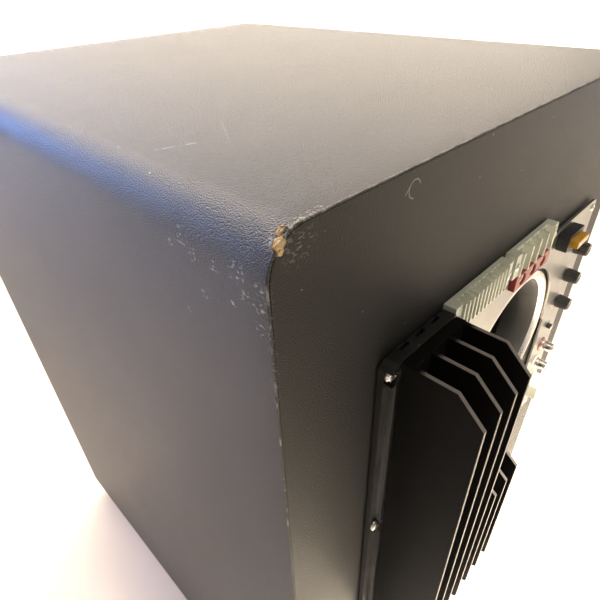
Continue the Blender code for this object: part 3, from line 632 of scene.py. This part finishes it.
def turned(name, profile, finish, place, at=(0.0, 0.0), segments=96, closed=False, **rest):
    """Piece turned about an axis; a closed profile makes a ring."""
    bm = bmesh.new()
    add_turned(bm, profile, segments, at, closed)
    return piece(name, bm, finish, place, **rest)


def arc(cx, cy, radius, start, stop, steps):
    """Points along an arc given in degrees, both ends included."""
    angles = [math.radians(start + (stop - start) * i / steps) for i in range(steps + 1)]
    return [(cx + radius * math.cos(a), cy + radius * math.sin(a)) for a in angles]


def subtract(obj, bm, finish, place=WORLD):
    """Cuts a shape out of a piece for good; the cut faces take the given finish."""
    tool = made_of("tool", bm, finish, place)
    cut = obj.modifiers.new("cut", "BOOLEAN")
    cut.operation = "DIFFERENCE"
    cut.solver = "EXACT"
    cut.use_self = True
    cut.material_mode = "TRANSFER"
    cut.object = tool
    bpy.context.view_layer.update()
    graph = bpy.context.evaluated_depsgraph_get()
    result = bpy.data.meshes.new_from_object(obj.evaluated_get(graph), depsgraph=graph)
    obj.modifiers.clear()
    obj.data = result
    bpy.data.objects.remove(tool)
    return obj


# ------------ cabinet


def wrap_outline(inset):
    """Outline of the wrap seen from behind, pulled in by inset, with fine rounded corners."""
    radius = EDGE_RADIUS - inset
    low, high = BASE + EDGE_RADIUS, TOP - EDGE_RADIUS
    middle = SIDE - EDGE_RADIUS
    points = []
    for x, z, start in ((middle, low, -90), (middle, high, 0), (-middle, high, 90), (-middle, low, 180)):
        points += arc(x, z, radius, start, start + 90, 14)
    return points


def chip_spot(angle, radius, depth):
    """Point near the rear end of the rounded corner: angle up from the side, radius from its axis."""
    turn = math.radians(angle)
    x = SIDE - EDGE_RADIUS + radius * math.cos(turn)
    z = TOP - EDGE_RADIUS + radius * math.sin(turn)
    return Vector((x, REAR - depth, z))


def add_lump(bm, centre, angle, size, seed):
    """Rough lump; its size is given along the corner's round, out of it and along the box."""
    turn = math.radians(angle)
    out = Vector((math.cos(turn), 0.0, math.sin(turn)))
    along = Vector((-math.sin(turn), 0.0, math.cos(turn)))
    for vert in bmesh.ops.create_icosphere(bm, subdivisions=3, radius=1.0)["verts"]:
        ball = vert.co.copy()
        ball *= 1 + 0.42 * noise.noise(ball * 2.3 + Vector((seed * 7.0, 3.0, 1.0)))
        back = Vector((0.0, -size[2] * ball.z, 0.0))
        vert.co = centre + along * (size[0] * ball.x) + out * (size[1] * ball.y) + back


def chip_tool():
    """The bite knocked out of the rear top corner."""
    bm = bmesh.new()
    for seed, (angle, radius, depth, size) in enumerate(CHIP_LUMPS):
        add_lump(bm, chip_spot(angle, radius, depth), angle, size, seed)
    return bm


def build_chip_face():
    """Broken fibreboard at the bottom of the bite."""
    for number, (angle, radius, depth, size) in enumerate(CHIP_LUMPS, 1):
        bm = bmesh.new()
        inward = size[1] * 0.62
        settled = max(depth, size[2] * 0.62)
        filled = tuple(part * 0.86 for part in size)
        add_lump(bm, chip_spot(angle, radius - inward, settled), angle, filled, number + 20)
        piece(f"chip_face_{number}", bm, "torn_board", slot="mdf")


def build_wrap():
    ease = SEAM_ROUND
    stations = [(SKIN, 0.0), (ease, 0.0), (ease * 0.3, ease * 0.3), (0.0, ease)]
    stations += [(0.0, 0.012), (0.0, 0.03)]
    depth = REAR - FRONT
    stations += [(0.0, depth - 0.03), (0.0, depth - ease)]
    stations += [(ease * 0.3, depth - ease * 0.3), (ease, depth), (SKIN, depth)]
    bm = bmesh.new()
    rings = []
    for inset, back in stations:
        rings.append([bm.verts.new((x, REAR - back, z)) for x, z in wrap_outline(inset)])
    for a, b in [*zip(rings, rings[1:]), (rings[-1], rings[0])]:
        bridge(bm, a, b)
    wrap = piece("vinyl_wrap_skin", bm, "black_vinyl", stands_for=("vinyl_wrap",))
    subtract(wrap, chip_tool(), "torn_board")


def build_boards():
    rounded("front_baffle", "vinyl_board", 0.0004)
    bm = from_node("rear_panel")
    board = piece("rear_panel_body", bm, "vinyl_board")
    subtract(board, chip_tool(), "torn_board")


def build_torn_vinyl():
    """Curled slivers of vinyl that still hang on at the edges of the bite."""
    steps, strands = 8, 3
    for number, (root, along, across, length, width) in enumerate(SLIVERS, 1):
        bm = bmesh.new()
        root = chip_spot(*root)
        along, across = Vector(along).normalized(), Vector(across).normalized()
        lift = along.cross(across)
        grid = []
        for i in range(steps + 1):
            t = i / steps
            row = []
            for j in range(strands + 1):
                s = j / strands - 0.5
                ragged = 1 - 0.7 * t + 0.25 * noise.noise(Vector((t * 6.0, s * 3.0, number)))
                spot = root + along * (length * t) + across * (width * s * ragged)
                row.append(bm.verts.new(spot + lift * (0.0005 * math.sin(t * 2.4))))
            grid.append(row)
        for a, b in zip(grid, grid[1:]):
            for i in range(strands):
                bm.faces.new((a[i], a[i + 1], b[i + 1], b[i]))
        sliver = piece(f"torn_vinyl_{number}", bm, "black_vinyl")
        skin = sliver.modifiers.new("skin", "SOLIDIFY")
        skin.thickness = 0.00018


def build_feet():
    """Turned rubber feet with two grooves and a washer round the fixing screw."""
    for number in range(1, 5):
        low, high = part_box(f"foot_{number}")
        middle = (low + high) / 2
        tall, wide = high.z, (high.x - low.x) / 2
        profile = [(0.0034, 0.004), (0.0034, 0.001), (0.0042, 0.0003), (0.006, 0.0), (0.0155, 0.0)]
        profile += [(0.0168, 0.0003), (0.0174, 0.0012), (0.0177, 0.003), (0.0172, 0.0035), (0.0179, 0.004)]
        profile += [(0.0182, 0.006), (0.0177, 0.0065), (0.0184, 0.007)]
        profile += [(wide, tall - 0.0006), (wide - 0.0004, tall), (0.006, tall), (0.006, 0.004)]
        turned(f"foot_{number}_body", profile, "rubber", WORLD, (middle.x, middle.y), 64, True)
        head = [(0.0, 0.006), (0.0018, 0.006), (0.0042, 0.0052), (0.0044, 0.0042), (0.0058, 0.0042)]
        head += [(0.0058, 0.0066), (0.002, 0.0066), (0.002, tall), (0.0, tall)]
        turned(f"foot_{number}_screw", head, "screw_zinc", WORLD, (middle.x, middle.y), 32)


# ------------ screws


def screw_shape(head, rise, shank, length):
    """Pan head screw with a cross recess, standing on z = 0."""
    bm = bmesh.new()
    crown = [(0.0, rise), (head * 0.35, rise * 0.985), (head * 0.62, rise * 0.9), (head * 0.84, rise * 0.7)]
    crown += [(head * 0.96, rise * 0.42), (head, rise * 0.16), (head * 0.985, 0.0), (shank, 0.0)]
    add_turned(bm, crown + [(shank, -length * 0.85), (0.0, -length)], 36)
    blank = made_of("screw_blank", bm, "screw_zinc")
    recess = bmesh.new()
    for turn in (0.0, math.pi / 2):
        c, s = math.cos(turn), math.sin(turn)
        wide, narrow, half = head * 0.52, head * 0.16, head * 0.11
        floor, roof = rise * 0.3, rise * 1.2
        rows = []
        for reach, side, z in ((narrow, half * 0.7, floor), (wide, half, roof)):
            corners = ((-reach, -side), (reach, -side), (reach, side), (-reach, side))
            rows.append([recess.verts.new((x * c - y * s, x * s + y * c, z)) for x, y in corners])
        recess.faces.new(rows[0])
        recess.faces.new(rows[1])
        bridge(recess, *rows)
    subtract(blank, recess, "screw_zinc")
    shape = blank.data
    bpy.data.objects.remove(blank)
    return shape


def add_screw(bm, shape, x, y, seat, turn):
    """Sets a screw's mesh at a place, turned about its own axis."""
    before = len(bm.verts)
    bm.from_mesh(shape)
    bm.verts.ensure_lookup_table()
    pose = Matrix.Translation((x, y, seat)) @ Matrix.Rotation(turn, 4, "Z")
    bmesh.ops.transform(bm, matrix=pose, verts=bm.verts[before:])


def screw(name, shape, x, y, seat, turn, finish, place):
    bm = bmesh.new()
    add_screw(bm, shape, x, y, seat, turn)
    return piece(name, bm, finish, place, sharp=40.0)


# ------------ woofer


def dome(radius):
    """Height of the grille over the front board."""
    return 0.026 - 0.25 * radius**2 - 562.0 * radius**6


def grille_cells(bm):
    """Hexagons of the grille's pattern, which share their corners."""
    side = GRILLE_PITCH / math.sqrt(3)
    row_step = side * 1.5
    rows = int(GRILLE_RADIUS / row_step) + 1
    columns = int(GRILLE_RADIUS / GRILLE_PITCH) + 1
    corners = {}
    cells = []
    for row in range(-rows, rows + 1):
        for column in range(-columns, columns + 1):
            x = (column + (row % 2) / 2) * GRILLE_PITCH
            y = row * row_step
            if math.hypot(x, y) > GRILLE_RADIUS:
                continue
            ring = []
            for px, py in circle(side, 6, x, y, math.pi / 6):
                key = (round(px * 1e5), round(py * 1e5))
                if key not in corners:
                    corners[key] = bm.verts.new((px, py, 0.0))
                ring.append(corners[key])
            cells.append(bm.faces.new(ring))
    return cells


def build_grille():
    """Steel sheet punched with hexagonal holes and pressed to a shallow dome."""
    bm = bmesh.new()
    cells = grille_cells(bm)
    bmesh.ops.inset_individual(bm, faces=cells, thickness=GRILLE_BAR)
    bmesh.ops.delete(bm, geom=cells, context="FACES")
    for vert in bm.verts:
        vert.co.z = dome(math.hypot(vert.co.x, vert.co.y)) - GRILLE_SHEET / 2
    sheet = piece("grille_sheet", bm, "black_steel", BEFORE, stands_for=("grille_mesh",))
    steel = sheet.modifiers.new("sheet", "SOLIDIFY")
    steel.thickness = GRILLE_SHEET
    steel.offset = 0.0


def build_grille_frame():
    """Rolled rim of the sheet, the steel ring outside it and the gasket under the basket."""
    rim = [(0.1345, dome(0.1345)), (0.1375, 0.01745), (0.1405, 0.016), (0.1418, 0.0153)]
    rim += [(0.14, 0.0152), (0.1372, 0.016), (0.1345, dome(0.1345) - 0.0012)]
    turned("grille_rim", rim, "black_steel", BEFORE, segments=128, closed=True)

    ring = [(0.1405, 0.0038), (0.1405, 0.0148), (0.1409, 0.015), (0.1417, 0.015), (0.1421, 0.0147)]
    ring += [(0.143, 0.007), (0.1434, 0.0061), (0.1442, 0.0058), (0.1532, 0.0058), (0.1538, 0.0055)]
    ring += [(0.154, 0.005), (0.154, 0.0038)]
    turned("grille_ring_body", ring, "black_steel", BEFORE, segments=128, closed=True)
    gasket = [(0.14, 0.0037), (0.1398, 0.0034), (0.133, 0.0034)]
    gasket += [(0.133, 0.0003), (0.1515, 0.0003), (0.1518, 0.0037)]
    turned("basket_gasket", gasket, "foam", BEFORE, segments=96, closed=True)


def build_cone():
    """Paper cone with pressed ribs, its dust cap and the bead of glue round the cap."""
    top = [(0.0262, -0.04), (0.03, -0.0384), (0.055, -0.0254)]
    for radius in (0.064, 0.074, 0.084, 0.094):
        height = -0.0252 + (radius - 0.055) * 0.5876
        top += [(radius - 0.0014, height - 0.00082), (radius - 0.0005, height + 0.0003)]
        top += [(radius + 0.0005, height + 0.00088), (radius + 0.0014, height + 0.00082)]
    top += [(0.102, 0.0024), (0.1035, 0.0033), (0.1085, 0.0033)]
    under = [(0.1085, 0.0021), (0.1042, 0.0021), (0.056, -0.0262), (0.0262, -0.0412)]
    turned("cone_body", top + under, "cone_paper", BEFORE, closed=True, body="cone_assembly")
    outer = [(0.0, -0.0105)]
    for i in range(1, 13):
        share = i / 12
        outer.append((0.044 * share, -0.0105 - 0.0191 * share**2.3))
    inner = [(max(0.0, radius - 0.0008), height - 0.0009) for radius, height in reversed(outer)]
    turned("dust_cap_body", outer + inner, "cap", BEFORE, body="cone_assembly")
    bead = arc(0.0443, -0.0296, 0.0011, 0, 330, 11)
    turned("dust_cap_glue", bead, "rubber", BEFORE, closed=True, body="cone_assembly")


def ring_sectors(name, profile, finish, stands_for):
    """Flexible ring cut into sectors, each an object of its own between frame and cone."""
    sweep = math.tau / SECTORS
    for number in range(SECTORS):
        bm = bmesh.new()
        start = sweep * number
        add_turned(bm, profile, 6, closed=True, start=start, sweep=sweep)
        obj = made_of(f"{name}_{number + 1}", bm, finish, BEFORE)
        smooth(obj, 50)
        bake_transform(obj)
        if number == 0:
            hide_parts(stands_for)


def build_suspension():
    """Half-roll rubber surround and corrugated cloth spider."""
    low, high = 0.0036, 0.0048
    outside = arc(ROLL_CENTRE, high, ROLL_RADIUS, 0, 180, 18)
    inside = arc(ROLL_CENTRE, low, ROLL_RADIUS - 0.001, 180, 0, 18)
    upper = [(0.14, high), (0.129, high), *outside, (0.101, high)]
    lower = [(0.101, low), *inside, (0.14, low)]
    ring_sectors("surround", upper + lower, "rubber", "surround")
    inner, outer, steps = 0.0265, 0.082, 36
    tops = []
    for i in range(steps + 1):
        share = i / steps
        fade = min(1.0, 6 * share, 6 * (1 - share))
        height = -0.053 + 0.0015 * fade * math.sin(share * math.tau * 6)
        tops.append((inner + (outer - inner) * share, height))
    profile = tops + [(radius, height - 0.0006) for radius, height in reversed(tops)]
    ring_sectors("spider", profile, "spider_cloth", "spider")


def smooth_route(points, per_span):
    """Points on a Catmull-Rom curve through the route's own points."""
    knots = [Vector(point) for point in points]
    knots = [2 * knots[0] - knots[1], *knots, 2 * knots[-1] - knots[-2]]
    route = []
    for a, b, c, d in zip(knots, knots[1:], knots[2:], knots[3:]):
        for i in range(per_span):
            t = i / per_span
            bend = (2 * a - 5 * b + 4 * c - d) * t**2 + (3 * b - a - 3 * c + d) * t**3
            route.append(0.5 * (2 * b + (c - a) * t + bend))
    return [*route, knots[-2]]


def build_lead():
    """Speaker lead inside the box, from the amplifier's tray to the woofer's terminal."""
    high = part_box("speaker_lead")[1]
    route = [
        (0.074, high.y, 0.355),
        (0.074, high.y - 0.02, 0.353),
        (0.082, 0.07, 0.315),
        (0.105, 0.0000, 0.262),
        (0.128, -0.09, 0.248),
        (0.138, -0.15, 0.266),
        (0.125, FRONT + 0.05, WOOFER_Z),
        (0.1093, FRONT + 0.05, WOOFER_Z),
    ]
    points = smooth_route(route, 4)
    curve = bpy.data.curves.new("lead", "CURVE")
    curve.dimensions = "3D"
    spline = curve.splines.new("POLY")
    spline.points.add(len(points) - 1)
    for target, point in zip(spline.points, points):
        target.co = (*point, 1.0)
    curve.bevel_depth = LEAD_DIAMETER / 2
    curve.bevel_resolution = 4
    curve.use_fill_caps = True
    curve.materials.append(FINISHES["rubber"])
    lead = linked(bpy.data.objects.new("lead", curve))
    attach(lead, "cabinet")
    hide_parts("speaker_lead")


def build_front_screws(shape):
    for number in range(1, 9):
        angle = math.radians(22.5 + 45 * (number - 1))
        x, y = SCREW_CIRCLE * math.cos(angle), SCREW_CIRCLE * math.sin(angle)
        screw(f"woofer_screw_{number}_body", shape, x, y, FRONT_SCREW_SEAT, number * 0.9, "screw_black",
              BEFORE)


# ------------ port


def build_port():
    """Silver flange, its flared throat and the tube behind it."""
    ring = [(0.0588, 0.0003), (0.0628, 0.0003), (0.0628, 0.0011), (0.0625, 0.0014), (0.0616, 0.0021)]
    ring += [(0.0608, 0.00236), (0.0598, 0.0024), (0.059, 0.0022), (0.058, 0.0015)]
    ring += [(0.0571, 0.0004), (0.0565, -0.001), (0.0575, -0.0022), (0.0584, -0.0015)]
    turned("port_trim_ring_body", ring, "silver_trim", BEHIND, PORT, 144, True)
    throat = [(0.0564, -0.001), (0.0552, -0.0022), (0.0538, -0.0045), (0.0524, -0.0075), (0.0511, -0.0105)]
    throat += [(0.0504, -0.014), (0.0502, -0.018), (0.0502, -0.022), (0.0524, -0.022), (0.0524, -0.013)]
    throat += [(0.0566, -0.0035)]
    turned("port_throat", throat, "port_black", BEHIND, PORT, 144, True)
    tube = [(0.0531, -0.016), (0.0531, -0.17), (0.0534, -0.184), (0.0545, -0.189), (0.056, -0.19)]
    tube += [(0.0586, -0.189), (0.0586, -0.016)]
    turned("port_tube_body", tube, "port_black", BEHIND, PORT, 96, True)


# ------------ amplifier


def build_amplifier(bright):
    """Heat sink and its frame, held by three pan head screws."""
    rounded("heat_sink", "black_aluminium", 0.00035)
    rounded("amp_frame", "black_paint", 0.0005)
    for number, y in enumerate(AMP_SCREWS, 1):
        screw(f"amp_screw_{number}_body", bright, AMP_SCREW_X, y, AMP_SCREW_SEAT, 0.3 + number, "screw_zinc",
              BEHIND)


def build_plate(small):
    """Face plate with its screws and a printed scale of eleven ticks round each knob."""
    rounded("connector_plate", "brushed_plate", 0.00025)
    for number, (x, y) in enumerate(PLATE_SCREWS, 1):
        screw(f"plate_screw_{number}", small, x, y, PLATE_TOP, number * 1.3, "screw_zinc", BEHIND)
    for knob, y in KNOBS.items():
        bm = bmesh.new()
        for tick in range(11):
            turn = math.radians(28 * tick - 50)
            long = 0.0016 if tick in (0, 5, 10) else 0.001
            printed = PLATE_TOP + 0.00008
            add_bar(bm, 0.0068, 0.0068 + long, -0.00016, 0.00016, PLATE_TOP, printed, turn, (CONTROL_X, y))
        piece(f"{knob}_scale", bm, "white_print", BEHIND, slot="brushed_plate")


def build_strips(tiny):
    """Barrier strips with a wire clamp and its screw in every pole."""
    for name, (left, right, poles) in STRIPS.items():
        rounded(name, "pale_nylon", 0.00025)
        first, last = left + STRIP_EAR, right - STRIP_EAR
        pitch = (last - first - STRIP_WALL) / poles
        half = min(0.0024, (pitch - STRIP_WALL) * 0.4)
        clamps = bmesh.new()
        for i in range(poles):
            x = first + STRIP_WALL + i * pitch + (pitch - STRIP_WALL) / 2
            add_bar(clamps, x - half, x + half, STRIP_MIDDLE - 0.006, STRIP_MIDDLE + 0.006, 0.003, 0.0038)
            wide = min(half, 0.0019)
            crown = [(0.0, 0.0052), (wide * 0.7, 0.0051), (wide, 0.0046), (wide, 0.0038)]
            add_turned(clamps, crown, 16, (x, STRIP_MIDDLE))
        piece(f"{name}_clamps", clamps, "nickel", BEHIND, bevel=0.00012)
        for number, x in enumerate((left + STRIP_EAR / 2, right - STRIP_EAR / 2), 1):
            screw(f"{name}_ear_screw_{number}", tiny, x, STRIP_MIDDLE, 0.0072, x * 900, "screw_zinc", BEHIND)


def build_power_terminal(shape):
    """Red block with three screws in wells and the wire mouths under them."""
    rounded("power_terminal", "red_plastic", 0.0005)
    low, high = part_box("power_terminal")
    middle, edge = (low.z + high.z) / 2 - TOP, low.z - TOP
    mouths = bmesh.new()
    for number, x in enumerate(POWER_WELLS, 1):
        screw(f"power_screw_{number}", shape, x, middle, POWER_WELL_FLOOR, number * 0.7, "screw_zinc", BEHIND)
        add_bar(mouths, x - 0.003, x + 0.003, edge - 0.00006, edge + 0.00015, 0.0043, 0.0066)
    piece("power_cage_mouths", mouths, "nickel", BEHIND, bevel=0.0001)


def knob_shape(bm, at, base, height):
    """Fluted knob: a cosine runs round its skirt and fades out at the crown."""
    levels = ((0.0018, 0.0, 0.0), (0.0052, 0.0, 0.0), (0.0055, 0.0004, 0.4), (0.0055, 0.0012, 1.0))
    levels += ((0.005, height - 0.0014, 1.0), (0.0048, height - 0.0006, 0.5), (0.0044, height - 0.0001, 0.0))
    levels += ((0.0036, height, 0.0), (0.0028, height - 0.0003, 0.0))
    segments, flutes = 108, 18
    rings = []
    for radius, rise, cut in levels:
        ring = []
        for i in range(segments):
            angle = math.tau * i / segments
            reach = radius - cut * 0.00022 * (1 + math.cos(flutes * angle))
            x, y = at[0] + reach * math.cos(angle), at[1] + reach * math.sin(angle)
            ring.append(bm.verts.new((x, y, base + rise)))
        rings.append(ring)
    for lower, upper in zip(rings, rings[1:]):
        bridge(bm, lower, upper)
    bm.faces.new(rings[-1])
    bm.faces.new(rings[0][::-1])


def build_controls():
    """Knobs with a white pointer and a steel stem, and the ridged slide switch."""
    base = PLATE_TOP + KNOB_GAP
    for knob, y in KNOBS.items():
        bm = bmesh.new()
        knob_shape(bm, (CONTROL_X, y), base, KNOB_HEIGHT)
        piece(f"{knob}_body", bm, "black_plastic", BEHIND, knob)
        pointer = bmesh.new()
        add_bar(pointer, -0.0004, 0.0004, 0.0008, 0.005, base + 0.0094, base + 0.00985, 0.0, (CONTROL_X, y))
        piece(f"{knob}_pointer", pointer, "white_print", BEHIND, knob, bevel=0.00008, slot="black_plastic")
        stem = [(0.0, base + 0.0002), (0.0017, base + 0.0002), (0.0017, base - 0.008), (0.0, base - 0.008)]
        turned(f"{knob}_stem", stem, "steel", BEHIND, (CONTROL_X, y), 24, body=knob,
               slot="black_plastic")
    rounded("phase_switch", "black_plastic", 0.0002, "phase_switch")
    low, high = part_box("phase_switch")
    middle = (low + high) / 2
    grip = bmesh.new()
    for i in range(-1, 2):
        x = SIDE - middle.x + i * 0.0011
        y = middle.z - TOP
        add_bar(grip, x - 0.00028, x + 0.00028, y - 0.0013, y + 0.0013, high.y - REAR - 0.0001, high.y - REAR)
    piece("phase_switch_ridges", grip, "black_plastic", BEHIND, "phase_switch")


def build_sockets():
    """Two input sockets with collars, and the pinned socket for the high level inputs."""
    barrel = [(0.0022, 0.0), (0.0052, 0.0), (0.0052, 0.0018), (0.005, 0.0021), (0.0042, 0.0022)]
    barrel += [(0.0042, 0.0091), (0.004, 0.0095), (0.0036, 0.0095), (0.0034, 0.0092), (0.0034, 0.0004)]
    core = [(0.0, 0.0066), (0.0011, 0.0066), (0.0013, 0.0088), (0.0017, 0.009), (0.0032, 0.0088)]
    core += [(0.0034, 0.0084), (0.0034, 0.0005), (0.0, 0.0005)]
    collar = [(0.0053, 0.0), (0.0066, 0.0), (0.0068, 0.0002), (0.0066, 0.0006), (0.0053, 0.0006)]
    for number, (y, insulator) in enumerate(RCA_SOCKETS, 1):
        name, at = f"rca_socket_{number}", (CONTROL_X, y)
        turned(f"{name}_barrel", [(r, SOCKET_BASE + h) for r, h in barrel], "nickel", BEHIND, at,
               48, True, stands_for=(name,))
        turned(f"{name}_core", [(r, SOCKET_BASE + h) for r, h in core], insulator, BEHIND, at, 32,
               slot="pale_nylon")
        turned(f"{name}_collar", [(r, SOCKET_BASE + h - 0.0003) for r, h in collar], insulator, BEHIND, at, 48,
               True, slot="pale_nylon")
    rounded("level_socket", "pale_nylon", 0.0004)
    pins = bmesh.new()
    for column in (-0.006, -0.002, 0.002, 0.006):
        for row in (-0.0024, 0.0024):
            x, y = CONTROL_X + column, LEVEL_SOCKET + row
            add_bar(pins, x - 0.0004, x + 0.0004, y - 0.0004, y + 0.0004, 0.0056, 0.012)
    piece("level_socket_pins", pins, "nickel", BEHIND, bevel=0.00012)


def build_fuse():
    """Blade fuse, its two blades standing in slots in the holder."""
    holder = rounded("fuse_holder", "black_plastic", 0.0005)
    rounded("fuse", "fuse_plastic", 0.0005, "fuse")
    blades = bmesh.new()
    slots = bmesh.new()
    for x in (-FUSE_BLADE, FUSE_BLADE):
        cx, cy = FUSE[0] + x, FUSE[1]
        add_bar(blades, cx - 0.0018, cx + 0.0018, cy - 0.0004, cy + 0.0004, 0.005, 0.0062)
        add_bar(slots, cx - 0.0021, cx + 0.0021, cy - 0.0007, cy + 0.0007, 0.0046, 0.007)
    piece("fuse_blades", blades, "zinc_sheet", BEHIND, "fuse", bevel=0.00015)
    subtract(holder, slots, "black_plastic", BEHIND)


# ------------ studio


def build_floor():
    """Matt floor that turns into a pale glow far behind."""
    bm = bmesh.new()
    bmesh.ops.create_grid(bm, x_segments=8, y_segments=8, size=20.0)
    mesh = bpy.data.meshes.new("studio_floor")
    bm.to_mesh(mesh)
    bm.free()
    finish = Finish("studio_floor")
    tone = finish.cloud(0.6, 3.0)
    glow = finish.reach((0.5, 1.0, 0.0)).fade(2.1, 3.0)
    finish.set(base_color=finish.mix(tone, shade(0.66, 0.61, 0.54), shade(0.7, 0.65, 0.58)), roughness=0.9)
    finish.set(emission_color=finish.mix(glow, shade(0, 0, 0), shade(1.1, 1.1, 1.15)), emission_strength=1.0)
    mesh.materials.append(finish.material)
    floor = linked(bpy.data.objects.new("studio_floor", mesh))


def hang(name, lamp, place, target):
    """Hangs a lamp at a place and aims it at its target."""
    obj = linked(bpy.data.objects.new(name, lamp))
    obj.location = place
    obj.rotation_euler = (Vector(target) - Vector(place)).to_track_quat("-Z", "Y").to_euler()
    return obj


def area_light(name, place, target, size, power, colour):
    lamp = bpy.data.lights.new(name, "AREA")
    lamp.shape = "RECTANGLE"
    lamp.size, lamp.size_y = size
    lamp.energy = power
    lamp.color = colour
    hang(name, lamp, place, target).visible_camera = False
    return lamp


def spot_light(name, place, target, power, angle, colour):
    lamp = bpy.data.lights.new(name, "SPOT")
    lamp.energy = power
    lamp.color = colour
    lamp.spot_size = math.radians(angle)
    lamp.spot_blend = 1.0
    lamp.shadow_soft_size = 0.1
    hang(name, lamp, place, target)


def build_lights():
    """Warm softboxes, one blue window and two pools of light on the floor."""
    bpy.context.scene.view_settings.view_transform = "Standard"
    world = bpy.data.worlds.new("studio")
    bpy.context.scene.world = world
    world.use_nodes = True
    sky = world.node_tree.nodes["Background"]
    sky.inputs["Color"].default_value = (1.0, 0.91, 0.8, 1.0)
    sky.inputs["Strength"].default_value = 0.28
    middle = (0.0, 0.0, 0.3)
    area_light("softbox_top", (0.5, -0.6, 3.2), middle, (2.6, 2.6), 40.0, (1.0, 0.9, 0.77))
    area_light("softbox_low", (-2.2, -2.9, 0.9), middle, (6.5, 1.3), 3.0, (1.0, 0.84, 0.66))
    area_light("softbox_high", (-2.0, -2.6, 2.7), middle, (6.0, 2.2), 600.0, (1.0, 0.86, 0.7))
    area_light("softbox_behind", (-1.8, 2.0, 1.7), (0.1, REAR, 0.4), (1.6, 1.4), 5.0, (1.0, 0.92, 0.84))
    blue = (0.15, 0.36, 1.0)
    window = area_light("blue_window", (0.75, -2.0, 1.15), (SIDE, 0.1, TOP), (0.7, 1.0), 6.0, blue)
    window.spread = math.radians(50)
    spot_light("rear_pool", (-0.05, 1.1, 1.2), (-0.08, 0.4, 0.0), 620.0, 38, (1.0, 0.9, 0.76))
    spot_light("side_pool", (1.1, -0.3, 1.2), (0.22, -0.25, 0.0), 52.0, 34, (1.0, 0.74, 0.57))


def build_camera():
    """Near the rear top corner, looking down over the lid and the amplifier."""
    unit = 0.056
    eye = Vector((SIDE + 1.198 * unit, REAR + 1.472 * unit, TOP + unit))
    yaw, pitch, roll = (math.radians(angle) for angle in (45.96, 35.41, 2.27))
    ahead = Vector((-math.cos(pitch) * math.cos(yaw), -math.cos(pitch) * math.sin(yaw), -math.sin(pitch)))
    right = ahead.cross(Vector((0, 0, 1))).normalized()
    down = ahead.cross(right)
    level = math.cos(roll) * right + math.sin(roll) * down
    below = math.cos(roll) * down - math.sin(roll) * right
    pose = Matrix((level, -below, -ahead)).transposed().to_4x4()
    pose.translation = eye
    lens = bpy.data.cameras.new("camera")
    lens.sensor_width = 36.0
    lens.lens = 36.0 * 474.9 / 600
    lens.shift_x = -1 / 600
    lens.clip_start = 0.005
    camera = linked(bpy.data.objects.new("camera", lens))
    camera.matrix_world = pose
    bpy.context.scene.camera = camera


# ------------ assembly


SLOTS = {part["node"]: part["material_slot"] for part in frame["record"]["subparts"]}
FINISHES = make_finishes()
build_camera()
for node, slot in SLOTS.items():
    NODES[node].material_slots[0].material = FINISHES[slot]
build_wrap()
build_boards()
build_chip_face()
build_torn_vinyl()
build_feet()
build_grille()
build_grille_frame()
build_cone()
build_suspension()
build_lead()
build_port()
bright_screw = screw_shape(*BRIGHT_SCREW)
build_front_screws(bright_screw)
build_amplifier(bright_screw)
build_plate(screw_shape(*SMALL_SCREW))
build_strips(screw_shape(*TINY_SCREW))
build_power_terminal(screw_shape(*TERMINAL_SCREW))
build_controls()
build_sockets()
build_fuse()
build_floor()
build_lights()
